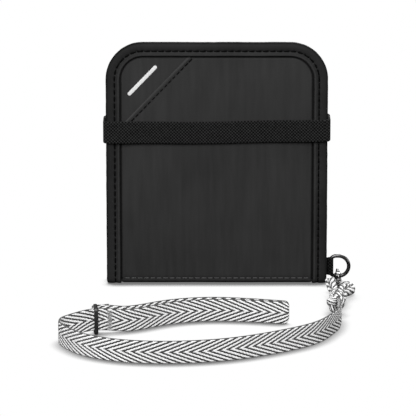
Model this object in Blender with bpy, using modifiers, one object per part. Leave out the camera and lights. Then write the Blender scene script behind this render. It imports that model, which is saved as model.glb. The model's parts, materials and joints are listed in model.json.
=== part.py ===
"""Compact folding travel wallet with an elastic closing band and a webbing wrist strap, closed and
standing on its fold. Metres, +Z up. The origin is the middle of the underside of the fold, the front
faces -Y and +X is to the right."""

import math

import bmesh
import bpy
from mathutils import Matrix, Vector

MM = 0.001

# Wallet halves. A half's depth is counted from the outer face of its edge binding inwards.
WIDTH = 88.8 * MM
FRONT_HEIGHT = 99.8 * MM
BACK_HEIGHT = 97.6 * MM
HALF_DEPTH = 5 * MM
HALF_BOTTOM = 1.4 * MM
TOP_RADIUS = 14.7 * MM
BINDING_WIDTH = 5.3 * MM
BINDING_WALL = 0.45 * MM
BINDING_DEPTH = 3.2 * MM
LAYER_INSET = 0.8 * MM
POCKET_INSET = 5.8 * MM
COVER_DEPTHS = (0.6 * MM, 1.1 * MM)
STIFFENER_DEPTHS = (1.2 * MM, 1.7 * MM)
SHIELD_DEPTHS = (1.8 * MM, 1.95 * MM)
LINING_DEPTHS = (2.05 * MM, 2.45 * MM)
POCKET_DEPTH = 2.75 * MM
POCKET_SHEET = 0.4 * MM
POCKET_STEP = 0.5 * MM
POCKET_BOTTOM = 3 * MM
CARD_POCKET_TOPS = (82 * MM, 70 * MM, 58 * MM)
WINDOW_PANEL_TOP = 72 * MM
WINDOW_HALF_WIDTH = 32 * MM
WINDOW_LOW = 14 * MM
WINDOW_HIGH = 62 * MM
FILM_THICKNESS = 0.2 * MM
SLIP_POCKET_TOP = 86 * MM

# Corner patch: a straight folded edge cuts the upper left corner off the front panel.
PATCH_EDGE_LEFT = Vector((-36.4, 67.8)) * MM
PATCH_EDGE_TOP = Vector((-10.6, 94.8)) * MM
PATCH_DEPTHS = (0.15 * MM, 0.5 * MM)
PATCH_INSET = 5.7 * MM

# Fold
SPINE_HALF_DEPTH = 4.3 * MM
SPINE_COVER = 0.55 * MM
SPINE_LINING = (0.65 * MM, 0.95 * MM)
SPINE_BINDING_TOP = 1 * MM
BOTTOM_RADIUS = 2.4 * MM
PIECE_GAP = 0.3 * MM

# Elastic band
BAND_HEIGHT = 9.2 * MM
BAND_CENTRE_Z = 63.6 * MM
BAND_THICKNESS = 1.1 * MM
BAND_GAP = 0.4 * MM
BAND_CORNER = 1.9 * MM
BAND_JOIN_LENGTH = 14 * MM
BAND_JOIN_THICKNESS = 0.8 * MM

# Ring and its tab
RING_X = 46.1 * MM
RING_Y = -1.0 * MM
RING_Z = 6.5 * MM
RING_WIRE = 0.75 * MM
RING_HALF_HEIGHT = 4.25 * MM
RING_BOW_X = 49.6 * MM
RING_CORNER = 1.0 * MM
TAB_HALF_HEIGHT = 3 * MM
TAB_START_X = 40.2 * MM
TAB_HALF_THICKNESS = 0.65 * MM
TAB_EYE_INNER = 0.95 * MM
TAB_EYE_OUTER = 1.45 * MM

# Clasp, whose long axis runs along -Y from the ring
CLASP_X = 49.2 * MM
CLASP_Z = 2.85 * MM
HOOK_WIRE = 0.6 * MM
HOOK_RADIUS = 2.2 * MM
HOOK_Y = -1.5 * MM
BLOCK_FRONT = -9.6 * MM
BLOCK_BACK = -5.6 * MM
BLOCK_HALF_WIDTH = 1.3 * MM
BLOCK_HALF_HEIGHT = 2.7 * MM
GATE_PIVOT = Vector((CLASP_X, -6.6 * MM, 4.55 * MM))
GATE_TIP_Y = -3.3 * MM
GATE_TIP_Z = 5.0 * MM
GATE_RADIUS = 0.6 * MM
GATE_THICKNESS = 1 * MM
PIN_RADIUS = 0.28 * MM
PIN_BORE = 0.38 * MM
NECK_RADIUS = 0.55 * MM
NECK_BORE = 0.75 * MM
HEAD_RADIUS = 0.95 * MM
HEAD_BORE = 1.15 * MM
HEAD_BACK = -8.1 * MM
HEAD_FRONT = -8.7 * MM
EYE_BACK = -10.9 * MM
EYE_BAR_Y = -14.6 * MM
EYE_WIRE = 0.55 * MM
EYE_HALF_HEIGHT = 2.2 * MM

# Strap
STRAP_HEIGHT = 9 * MM
STRAP_THICKNESS = 1.2 * MM
STRAP_GAP = 0.5 * MM
LEAD_HALF_THICKNESS = 2.4 * MM
LEAD_EYE = 0.8 * MM
LEAD_HALF_HEIGHT = 1.45 * MM
LEAD_END_Y = -44.9 * MM
KNOT_CENTRE = Vector((47.0, -49.5, 3.9)) * MM
KNOT_RADII = Vector((3.8, 4.2, 3.8)) * MM
STRAP_PATH = [
    Vector(point) * MM
    for point in (
        (48.2, -54.4),
        (48.4, -64),
        (46, -77),
        (36, -96),
        (12.4, -113),
        (-10, -120),
        (-33, -119.5),
        (-50, -111),
        (-59.5, -97),
        (-60.2, -87.5),
        (-54, -82.2),
        (-43, -78.8),
        (-31.5, -74.4),
        (-18, -65.5),
        (-4, -61.4),
        (10, -62),
        (27.4, -65.4),
    )
]
PATH_STEP = 2.5 * MM
STRAP_BENDS = (14 * MM, 43 * MM, 77 * MM, 111 * MM, 149 * MM, 223 * MM)
STRAP_END = 260 * MM
RETURN_OFFSET = 2.1 * MM
RETURN_START = 192.6 * MM
SLIDER_AT = 183.6 * MM
SLIDER_LIFT = 1.5 * MM
LIFT_SPREAD = 15 * MM
SLIDER_LENGTH = 1.7 * MM
SLIDER_HEIGHT = 12 * MM
SLIDER_NEAR = -2.2 * MM
SLIDER_FAR = 5.2 * MM
SLIDER_BAR = 1 * MM
SLIDER_MIDDLE = 0.4 * MM
SEWN_EYE_RADIUS = 1.15 * MM
SEWN_EYE_HOLE = 0.6 * MM
SEWN_EYE_HOLE_HALF = 0.55 * MM
SEWN_EYE_LENGTH = 2.2 * MM

ARC_STEPS = 10
ROUND_SIDES = 16

FACING_FRONT = Matrix.Rotation(math.radians(90), 4, "X")
FACING_SIDE = Matrix.Rotation(math.radians(90), 4, "Z") @ FACING_FRONT


def clear_scene():
    for found in list(bpy.data.objects):
        bpy.data.objects.remove(found)


def collection(name):
    made = bpy.data.collections.new(name)
    bpy.context.scene.collection.children.link(made)
    return made


def finish_material(name, color, roughness, metallic=0.0, alpha=1.0):
    material = bpy.data.materials.new(name)
    material.use_nodes = True
    shader = material.node_tree.nodes["Principled BSDF"]
    shader.inputs["Base Color"].default_value = (*color, 1)
    shader.inputs["Roughness"].default_value = roughness
    shader.inputs["Metallic"].default_value = metallic
    shader.inputs["Alpha"].default_value = alpha
    return material


def black_fabric(name):
    return finish_material(name, (0.032, 0.032, 0.033), 0.75)


def woven_elastic(name):
    return finish_material(name, (0.016, 0.016, 0.017), 0.85)


def dark_lining(name):
    return finish_material(name, (0.06, 0.06, 0.065), 0.7)


def board(name):
    return finish_material(name, (0.3, 0.3, 0.3), 0.8)


def shielding_foil(name):
    return finish_material(name, (0.6, 0.6, 0.62), 0.35, metallic=1)


def clear_film(name):
    return finish_material(name, (0.9, 0.9, 0.92), 0.1, alpha=0.35)


def gunmetal(name):
    return finish_material(name, (0.05, 0.05, 0.055), 0.3, metallic=1)


def black_plastic(name):
    return finish_material(name, (0.02, 0.02, 0.02), 0.35)


def grey_webbing(name):
    return finish_material(name, (0.45, 0.45, 0.45), 0.8)


def place(made, where, material):
    """Puts an object in a collection, with a material of its own."""
    for current in list(made.users_collection):
        current.objects.unlink(made)
    where.objects.link(made)
    made.data.materials.clear()
    made.data.materials.append(material(made.name))
    return made


def hide_cutter(made, cutters):
    place(made, cutters, gunmetal)
    made.hide_render = True
    made.display_type = "WIRE"
    return made


def solid_from_curve(drawn):
    """Turns a curve object into a mesh object of the same name and place, with its caps welded on."""
    name = drawn.name
    bpy.context.scene.collection.objects.link(drawn)
    bpy.context.view_layer.update()
    graph = bpy.context.evaluated_depsgraph_get()
    mesh = bpy.data.meshes.new_from_object(drawn.evaluated_get(graph))
    place_in_world = drawn.matrix_world.copy()
    bpy.data.objects.remove(drawn)
    shape = bmesh.new()
    shape.from_mesh(mesh)
    bmesh.ops.remove_doubles(shape, verts=shape.verts, dist=1e-6)
    bmesh.ops.recalc_face_normals(shape, faces=shape.faces)
    shape.to_mesh(mesh)
    shape.free()
    made = bpy.data.objects.new(name, mesh)
    made.matrix_world = place_in_world
    return made


def extruded(name, outlines, thickness, placement):
    """A flat outline with any holes, thickened evenly about its own plane."""
    curve = bpy.data.curves.new(name, "CURVE")
    curve.dimensions = "2D"
    curve.fill_mode = "BOTH"
    curve.extrude = thickness / 2
    for outline in outlines:
        spline = curve.splines.new("POLY")
        spline.points.add(len(outline) - 1)
        for point, (x, y) in zip(spline.points, outline):
            point.co = (x, y, 0, 1)
        spline.use_cyclic_u = True
    drawn = bpy.data.objects.new(name, curve)
    drawn.matrix_world = placement
    return solid_from_curve(drawn)


def wire(name, points, radius, cyclic=False):
    """A round wire through the points, with flat ends."""
    curve = bpy.data.curves.new(name, "CURVE")
    curve.dimensions = "3D"
    curve.bevel_depth = radius
    curve.bevel_resolution = 2
    curve.use_fill_caps = not cyclic
    spline = curve.splines.new("POLY")
    spline.points.add(len(points) - 1)
    for point, place_at in zip(spline.points, points):
        point.co = (*place_at, 1)
    spline.use_cyclic_u = cyclic
    return solid_from_curve(bpy.data.objects.new(name, curve))


def cylinder(name, radius, start, end):
    """A cylinder between two points."""
    along = Vector(end) - Vector(start)
    bpy.ops.mesh.primitive_cylinder_add(vertices=ROUND_SIDES, radius=radius, depth=along.length)
    made = bpy.context.object
    made.name = name
    turn = along.to_track_quat("Z", "Y").to_matrix().to_4x4()
    made.matrix_world = Matrix.Translation((Vector(start) + Vector(end)) / 2) @ turn
    return made


def block(name, low, high):
    """A box between two corners."""
    bpy.ops.mesh.primitive_cube_add(size=1)
    made = bpy.context.object
    made.name = name
    size = Vector(high) - Vector(low)
    made.data.transform(Matrix.Diagonal((*size, 1)))
    made.location = (Vector(low) + Vector(high)) / 2
    return made


def combine(made, other, operation):
    boolean = made.modifiers.new(operation.lower() + "_" + other.name, "BOOLEAN")
    boolean.operation = operation
    boolean.solver = "EXACT"
    boolean.object = other


def arc(centre, radius, start_degrees, end_degrees, steps=ARC_STEPS):
    points = []
    for step in range(steps + 1):
        angle = math.radians(start_degrees + (end_degrees - start_degrees) * step / steps)
        points.append((centre[0] + radius * math.cos(angle), centre[1] + radius * math.sin(angle)))
    return points


def circle(centre, radius, sides=ROUND_SIDES):
    return arc(centre, radius, 0, 360, sides)[:-1]


def capsule(start, end, radius):
    """The outline of a slot along the first axis, with round ends."""
    return arc(end, radius, -90, 90) + arc(start, radius, 90, 270)


def rectangle(low, high):
    return [(low[0], low[1]), (high[0], low[1]), (high[0], high[1]), (low[0], high[1])]


def half_outline(height, inset, bottom):
    """The outline of a half, with both top corners rounded, drawn in by the inset."""
    side = WIDTH / 2 - inset
    top = height - inset
    radius = TOP_RADIUS - inset
    right = arc((side - radius, top - radius), radius, 0, 90)
    left = arc((radius - side, top - radius), radius, 90, 180)
    return [(-side, bottom), (side, bottom)] + right + left


def sheet(name, outlines, side, depths):
    """A layer of a half: side is -1 for the front half and 1 for the back half."""
    middle = side * (HALF_DEPTH - (depths[0] + depths[1]) / 2)
    placement = Matrix.Translation((0, middle, 0)) @ FACING_FRONT
    return extruded(name, outlines, depths[1] - depths[0], placement)


def full_layer(name, height, side, depths):
    return sheet(name, [half_outline(height, LAYER_INSET, HALF_BOTTOM)], side, depths)


def edge_binding(name, height, side, cutters):
    """A tape folded round the left, top and right edges: a C in section, open at the fold."""
    made = sheet(name, [half_outline(height, 0, HALF_BOTTOM)], side, (0, BINDING_DEPTH))
    below = HALF_BOTTOM - BINDING_WIDTH
    window = sheet(
        name + "_window",
        [half_outline(height, BINDING_WIDTH, below)],
        side,
        (-BINDING_WIDTH, BINDING_DEPTH + BINDING_WIDTH),
    )
    channel = sheet(
        name + "_channel",
        [half_outline(height, BINDING_WALL, below)],
        side,
        (BINDING_WALL, BINDING_DEPTH - BINDING_WALL),
    )
    for cutter in (window, channel):
        hide_cutter(cutter, cutters)
        combine(made, cutter, "DIFFERENCE")
    return made


def corner_patch():
    """The panel's upper left corner beyond the folded edge, inside the binding."""
    side = WIDTH / 2 - PATCH_INSET
    top = FRONT_HEIGHT - PATCH_INSET
    radius = TOP_RADIUS - PATCH_INSET
    slope = (PATCH_EDGE_TOP.y - PATCH_EDGE_LEFT.y) / (PATCH_EDGE_TOP.x - PATCH_EDGE_LEFT.x)
    edge_low = (-side, PATCH_EDGE_LEFT.y + slope * (-side - PATCH_EDGE_LEFT.x))
    edge_high = (PATCH_EDGE_LEFT.x + (top - PATCH_EDGE_LEFT.y) / slope, top)
    corner = arc((radius - side, top - radius), radius, 90, 180)
    return sheet("corner_patch", [[edge_low, edge_high] + corner], -1, PATCH_DEPTHS)


def pocket_panel(name, side, layer, top, holes=()):
    """A straight-topped pocket panel inside the binding, counted in layers from the lining."""
    reach = WIDTH / 2 - POCKET_INSET
    start = POCKET_DEPTH + layer * POCKET_STEP
    outline = rectangle((-reach, POCKET_BOTTOM), (reach, top))
    return sheet(name, [outline, *holes], side, (start, start + POCKET_SHEET))


def id_window_film():
    """The clear sheet behind the window frame."""
    margin = 3 * PIECE_GAP
    outline = rectangle(
        (-WINDOW_HALF_WIDTH - margin, WINDOW_LOW - margin),
        (WINDOW_HALF_WIDTH + margin, WINDOW_HIGH + margin),
    )
    start = POCKET_DEPTH + POCKET_STEP
    return sheet("id_window_film", [outline], -1, (start, start + FILM_THICKNESS))


def build_half_layers(prefix, height, side, parts, cutters):
    place(full_layer(prefix + "_cover", height, side, COVER_DEPTHS), parts, black_fabric)
    place(full_layer(prefix + "_stiffener", height, side, STIFFENER_DEPTHS), parts, board)
    place(full_layer(prefix + "_rfid_liner", height, side, SHIELD_DEPTHS), parts, shielding_foil)
    place(full_layer(prefix + "_lining", height, side, LINING_DEPTHS), parts, dark_lining)
    place(edge_binding(prefix + "_binding", height, side, cutters), parts, black_fabric)


def build_front_half(parts, cutters):
    build_half_layers("front", FRONT_HEIGHT, -1, parts, cutters)
    place(corner_patch(), parts, black_fabric)
    place(pocket_panel("slip_pocket", -1, 0, SLIP_POCKET_TOP), parts, dark_lining)
    place(id_window_film(), parts, clear_film)
    window = rectangle((-WINDOW_HALF_WIDTH, WINDOW_LOW), (WINDOW_HALF_WIDTH, WINDOW_HIGH))
    frame = pocket_panel("id_window_frame", -1, 1.6, WINDOW_PANEL_TOP, [window])
    place(frame, parts, dark_lining)


def build_back_half(parts, cutters):
    build_half_layers("back", BACK_HEIGHT, 1, parts, cutters)
    for layer, top in enumerate(CARD_POCKET_TOPS):
        place(pocket_panel(f"card_pocket_{layer + 1}", 1, layer, top), parts, dark_lining)


def build_spine(parts):
    """The strip under the two halves that the outer sheet folds round."""
    reach = WIDTH / 2 - BINDING_WIDTH - PIECE_GAP
    for name, low, high, inset, material in (
        ("spine_cover", 0, SPINE_COVER, 0, black_fabric),
        ("spine_lining", *SPINE_LINING, 2 * PIECE_GAP, dark_lining),
    ):
        depth = SPINE_HALF_DEPTH - inset
        outline = rectangle((-reach, -depth), (reach, depth))
        placement = Matrix.Translation((0, 0, (low + high) / 2))
        place(extruded(name, [outline], high - low, placement), parts, material)
    for name, side in (("spine_binding_left", -1), ("spine_binding_right", 1)):
        place(spine_binding(name, side), parts, black_fabric)


def spine_binding(name, side):
    """The binding where it goes round the fold, with its outer corner rounded."""
    inner = side * (WIDTH / 2 - BINDING_WIDTH)
    centre_x = WIDTH / 2 - BOTTOM_RADIUS
    rise = math.degrees(math.asin(1 - SPINE_BINDING_TOP / BOTTOM_RADIUS))
    corner = arc((centre_x, BOTTOM_RADIUS), BOTTOM_RADIUS, -90, -rise, 6)
    outline = [(inner, 0)] + [(side * x, z) for x, z in corner] + [(inner, SPINE_BINDING_TOP)]
    return extruded(name, [outline], 2 * SPINE_HALF_DEPTH, FACING_FRONT)


def rounded_rectangle(half_x, half_y, radius):
    points = []
    for start, sign_x, sign_y in ((0, 1, 1), (90, -1, 1), (180, -1, -1), (270, 1, -1)):
        centre = (sign_x * (half_x - radius), sign_y * (half_y - radius))
        points += arc(centre, radius, start, start + 90, 6)
    return points


def build_band(parts):
    inner_x = WIDTH / 2 + BAND_GAP
    inner_y = HALF_DEPTH + BAND_GAP
    outer = rounded_rectangle(inner_x + BAND_THICKNESS, inner_y + BAND_THICKNESS, BAND_CORNER)
    inner = rounded_rectangle(inner_x, inner_y, BAND_CORNER - BAND_THICKNESS)
    placement = Matrix.Translation((0, 0, BAND_CENTRE_Z))
    place(extruded("elastic_band", [outer, inner], BAND_HEIGHT, placement), parts, woven_elastic)
    back = inner_y + BAND_THICKNESS + PIECE_GAP / 3
    half = BAND_JOIN_LENGTH / 2
    low = (-half, back, BAND_CENTRE_Z - BAND_HEIGHT / 2)
    high = (half, back + BAND_JOIN_THICKNESS, BAND_CENTRE_Z + BAND_HEIGHT / 2)
    place(block("band_join", low, high), parts, woven_elastic)


def build_ring_tab(parts):
    """A tape sewn between the halves, with an eye round the ring's straight bar."""
    centre = (RING_X, RING_Y)
    lean = math.degrees(math.asin(TAB_HALF_THICKNESS / TAB_EYE_OUTER))
    outline = [
        (TAB_START_X, RING_Y + TAB_HALF_THICKNESS),
        (TAB_START_X, RING_Y - TAB_HALF_THICKNESS),
    ] + arc(centre, TAB_EYE_OUTER, lean - 180, 180 - lean, 2 * ARC_STEPS)
    hole = circle(centre, TAB_EYE_INNER)
    placement = Matrix.Translation((0, 0, RING_Z))
    made = extruded("ring_tab", [outline, hole], 2 * TAB_HALF_HEIGHT, placement)
    place(made, parts, woven_elastic)


def build_ring(parts):
    """A wire D: a straight bar on the left and a round bow on the right, in an upright plane."""
    high = RING_Z + RING_HALF_HEIGHT
    low = RING_Z - RING_HALF_HEIGHT
    inner = RING_X + RING_CORNER
    flat = arc((inner, low + RING_CORNER), RING_CORNER, 180, 270, 4)
    flat += arc((RING_BOW_X, RING_Z), RING_HALF_HEIGHT, -90, 90, 2 * ARC_STEPS)
    flat += arc((inner, high - RING_CORNER), RING_CORNER, 90, 180, 4)
    points = [(x, RING_Y, z) for x, z in flat]
    place(wire("d_ring", points, RING_WIRE, cyclic=True), parts, gunmetal)


def clasp_plane(name, outlines, thickness, x=CLASP_X):
    """A flat piece in the clasp's own upright plane, drawn in (y, z)."""
    return extruded(name, outlines, thickness, Matrix.Translation((x, 0, 0)) @ FACING_SIDE)


def build_clasp_body(parts, cutters):
    """A block with a hook, slotted for the gate and bored for the swivel's neck."""
    low = (CLASP_X - BLOCK_HALF_WIDTH, BLOCK_FRONT, CLASP_Z - BLOCK_HALF_HEIGHT)
    high = (CLASP_X + BLOCK_HALF_WIDTH, BLOCK_BACK, CLASP_Z + BLOCK_HALF_HEIGHT)
    made = place(block("clasp_body", low, high), parts, gunmetal)
    bevel = made.modifiers.new("rounded_edges", "BEVEL")
    bevel.width = 0.4 * MM
    bevel.segments = 2
    low_z = CLASP_Z - HOOK_RADIUS
    bend = arc((HOOK_Y, CLASP_Z), HOOK_RADIUS, -90, 90, 12)
    path = [(BLOCK_BACK - 1 * MM, low_z)] + bend + [(HOOK_Y - 1 * MM, CLASP_Z + HOOK_RADIUS)]
    hook = wire("clasp_hook", [(CLASP_X, y, z) for y, z in path], HOOK_WIRE)
    combine(made, hide_cutter(hook, cutters), "UNION")
    slot_half = GATE_THICKNESS / 2 + 0.15 * MM
    slot = block(
        "gate_slot",
        (CLASP_X - slot_half, GATE_PIVOT.y - 1 * MM, GATE_PIVOT.z - 1.1 * MM),
        (CLASP_X + slot_half, BLOCK_BACK + 1 * MM, high[2] + 1 * MM),
    )
    reach = BLOCK_HALF_WIDTH + 1 * MM
    pin_bore = cylinder(
        "pin_bore", PIN_BORE, GATE_PIVOT - Vector((reach, 0, 0)), GATE_PIVOT + Vector((reach, 0, 0))
    )
    slack = 0.25 * MM
    head_bore = cylinder(
        "head_bore",
        HEAD_BORE,
        (CLASP_X, HEAD_FRONT - slack, CLASP_Z),
        (CLASP_X, HEAD_BACK + slack, CLASP_Z),
    )
    neck_bore = cylinder(
        "neck_bore",
        NECK_BORE,
        (CLASP_X, BLOCK_FRONT - 1 * MM, CLASP_Z),
        (CLASP_X, HEAD_FRONT, CLASP_Z),
    )
    for cutter in (slot, pin_bore, head_bore, neck_bore):
        combine(made, hide_cutter(cutter, cutters), "DIFFERENCE")


def build_clasp_gate(parts, cutters):
    """The lever that closes the hook, and the pin it turns on."""
    length = math.hypot(GATE_TIP_Y - GATE_PIVOT.y, GATE_TIP_Z - GATE_PIVOT.z)
    tilt = math.atan2(GATE_TIP_Z - GATE_PIVOT.z, GATE_TIP_Y - GATE_PIVOT.y)
    lean = Matrix.Rotation(tilt, 4, "Z")
    outline = capsule((0, 0), (length - GATE_RADIUS, 0), GATE_RADIUS)
    placement = Matrix.Translation(GATE_PIVOT) @ FACING_SIDE @ lean
    gate = extruded("clasp_gate", [outline, circle((0, 0), PIN_BORE, 12)], GATE_THICKNESS, placement)
    place(gate, parts, gunmetal)
    half = Vector((BLOCK_HALF_WIDTH, 0, 0))
    pin = cylinder("clasp_gate_pin", PIN_RADIUS, GATE_PIVOT - half, GATE_PIVOT + half)
    place(pin, parts, gunmetal)


def build_swivel_eye(parts, cutters):
    """A headed neck that turns in the clasp, with a loop for the strap."""
    made = cylinder(
        "clasp_swivel_eye",
        NECK_RADIUS,
        (CLASP_X, EYE_BACK, CLASP_Z),
        (CLASP_X, (HEAD_FRONT + HEAD_BACK) / 2, CLASP_Z),
    )
    place(made, parts, gunmetal)
    head = cylinder(
        "swivel_head", HEAD_RADIUS, (CLASP_X, HEAD_FRONT, CLASP_Z), (CLASP_X, HEAD_BACK, CLASP_Z)
    )
    corner = 1 * MM
    back = EYE_BACK - corner
    front = EYE_BAR_Y + corner
    low = CLASP_Z - EYE_HALF_HEIGHT + corner
    high = CLASP_Z + EYE_HALF_HEIGHT - corner
    path = arc((back, high), corner, 0, 90, 4) + arc((front, high), corner, 90, 180, 4)
    path += arc((front, low), corner, 180, 270, 4) + arc((back, low), corner, 270, 360, 4)
    loop = wire("swivel_loop", [(CLASP_X, y, z) for y, z in path], EYE_WIRE, cyclic=True)
    for joined in (head, loop):
        combine(made, hide_cutter(joined, cutters), "UNION")


def path_position(points, index, t):
    """A smooth curve through the points, between one point and the next."""
    before = points[max(index - 1, 0)]
    start = points[index]
    end = points[index + 1]
    after = points[min(index + 2, len(points) - 1)]
    pull = (end - before) * t + (2 * before - 5 * start + 4 * end - after) * t**2
    pull += (3 * (start - end) + after - before) * t**3
    return start + pull / 2


def dense_path(points, steps=24):
    found = [points[0]]
    for index in range(len(points) - 1):
        for step in range(1, steps + 1):
            found.append(path_position(points, index, step / steps))
    return found


DENSE_PATH = dense_path(STRAP_PATH)


def strap_frame(distance):
    """The strap's centre line at a distance from the knot: (position, direction, left normal)."""
    walked = 0.0
    for start, end in zip(DENSE_PATH, DENSE_PATH[1:]):
        length = (end - start).length
        if walked + length >= distance or end is DENSE_PATH[-1]:
            direction = (end - start) / length
            position = start + direction * (distance - walked)
            return position, direction, Vector((-direction.y, direction.x))
        walked += length
    raise ValueError("the strap has no length")


def strap_lift(distance):
    """How far the strap's lower edge is off the ground: it rises to pass through the slider."""
    away = min(abs(distance - SLIDER_AT) / LIFT_SPREAD, 1)
    return SLIDER_LIFT * (1 + math.cos(math.pi * away)) / 2


def strip(name, stations):
    """A webbing strip on edge through (x, y, height of its lower edge)."""
    shape = bmesh.new()
    rows = []
    for x, y, z in stations:
        rows.append([shape.verts.new((x, y, z)), shape.verts.new((x, y, z + STRAP_HEIGHT))])
    for (low, high), (next_low, next_high) in zip(rows, rows[1:]):
        shape.faces.new((low, next_low, next_high, high))
    mesh = bpy.data.meshes.new(name)
    shape.to_mesh(mesh)
    shape.free()
    made = bpy.data.objects.new(name, mesh)
    solidify = made.modifiers.new("thickness", "SOLIDIFY")
    solidify.thickness = STRAP_THICKNESS
    solidify.offset = 0
    return made


def stations_between(start, end, offset=0.0):
    count = max(2, round((end - start) / PATH_STEP))
    stations = []
    for step in range(count + 1):
        distance = start + (end - start) * step / count
        position, _, normal = strap_frame(distance)
        place_at = position + normal * offset
        stations.append((place_at.x, place_at.y, strap_lift(distance)))
    return stations


def build_strap_lead(parts):
    """Bunched webbing from the swivel's bar to the knot, with an eye round the bar."""
    length = EYE_BAR_Y - LEAD_END_Y
    outline = arc((0, 0), LEAD_HALF_THICKNESS, 90, 270)
    outline += [(length, -LEAD_HALF_THICKNESS), (length, LEAD_HALF_THICKNESS)]
    lean = math.atan2(LEAD_END_Y - EYE_BAR_Y, KNOT_CENTRE.x - CLASP_X)
    placement = Matrix.Translation((CLASP_X, EYE_BAR_Y, CLASP_Z)) @ Matrix.Rotation(lean, 4, "Z")
    made = extruded(
        "strap_lead", [outline, circle((0, 0), LEAD_EYE)], 2 * LEAD_HALF_HEIGHT, placement
    )
    place(made, parts, grey_webbing)


def build_strap_knot(parts):
    bpy.ops.mesh.primitive_uv_sphere_add(segments=20, ring_count=12, radius=1)
    made = bpy.context.object
    made.name = "strap_knot"
    made.data.transform(Matrix.Diagonal((*KNOT_RADII, 1)))
    made.location = KNOT_CENTRE
    made.data.shade_smooth()
    place(made, parts, grey_webbing)


def build_strap_sections(parts):
    """The strap from the knot to its far end, in sections that meet at the bends."""
    edges = [-STRAP_GAP / 2, *STRAP_BENDS]
    for number, (start, end) in enumerate(zip(edges, edges[1:]), 1):
        stations = stations_between(start + STRAP_GAP / 2, end - STRAP_GAP / 2)
        place(strip(f"strap_section_{number}", stations), parts, grey_webbing)
    last_bend = STRAP_BENDS[-1] + STRAP_GAP / 2
    out = stations_between(last_bend, STRAP_END)
    back = stations_between(last_bend, STRAP_END, RETURN_OFFSET)
    position, direction, normal = strap_frame(STRAP_END)
    centre = position + normal * RETURN_OFFSET / 2
    turn = []
    for step in range(1, 6):
        angle = math.pi * (step / 6 - 0.5)
        outward = direction * math.cos(angle) + normal * math.sin(angle)
        spot = centre + outward * RETURN_OFFSET / 2
        turn.append((spot.x, spot.y, 0))
    place(strip("strap_end_fold", out + turn + back[::-1]), parts, grey_webbing)
    stations = stations_between(RETURN_START, STRAP_BENDS[-1] - STRAP_GAP / 2, RETURN_OFFSET)
    place(strip("strap_return", stations), parts, grey_webbing)


def slider_placement():
    """The slider's own frame: its first axis along the strap, its second to the strap's left."""
    position, direction, normal = strap_frame(SLIDER_AT)
    turn = Matrix.Identity(4)
    turn.col[0][:2] = direction
    turn.col[1][:2] = normal
    return Matrix.Translation((position.x, position.y, 0)) @ turn


def build_slider(parts):
    """A three-bar slider across the strap, and the strap's sewn eye round its middle bar."""
    outer = rectangle((SLIDER_NEAR, 0), (SLIDER_FAR, SLIDER_HEIGHT))
    windows = []
    for near, far in (
        (SLIDER_NEAR + SLIDER_BAR, RETURN_OFFSET - SLIDER_MIDDLE),
        (RETURN_OFFSET + SLIDER_MIDDLE, SLIDER_FAR - SLIDER_BAR),
    ):
        windows.append(rectangle((near, SLIDER_BAR), (far, SLIDER_HEIGHT - SLIDER_BAR)))
    across = slider_placement() @ FACING_SIDE
    made = extruded("strap_slider", [outer, *windows], SLIDER_LENGTH, across)
    place(made, parts, black_plastic)
    eye = capsule((-SEWN_EYE_HOLE_HALF, 0), (SEWN_EYE_LENGTH, 0), SEWN_EYE_RADIUS)
    hole = capsule((-SEWN_EYE_HOLE_HALF, 0), (SEWN_EYE_HOLE_HALF, 0), SEWN_EYE_HOLE)
    middle = SLIDER_LIFT + STRAP_HEIGHT / 2
    placement = slider_placement() @ Matrix.Translation((0, RETURN_OFFSET, middle))
    made = extruded("strap_sewn_eye", [eye, hole], STRAP_HEIGHT, placement)
    place(made, parts, grey_webbing)


def build():
    clear_scene()
    parts = collection("neck_pouch_wallet")
    cutters = collection("cutters")
    build_front_half(parts, cutters)
    build_back_half(parts, cutters)
    build_spine(parts)
    build_band(parts)
    build_ring_tab(parts)
    build_ring(parts)
    build_clasp_body(parts, cutters)
    build_clasp_gate(parts, cutters)
    build_swivel_eye(parts, cutters)
    build_strap_lead(parts)
    build_strap_knot(parts)
    build_strap_sections(parts)
    build_slider(parts)


build()
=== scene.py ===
"""The looks of a compact folding travel wallet with an elastic band and a chevron webbing strap, built
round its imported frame. Metres, +Z up, the front faces -Y."""

import json
import math

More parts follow.
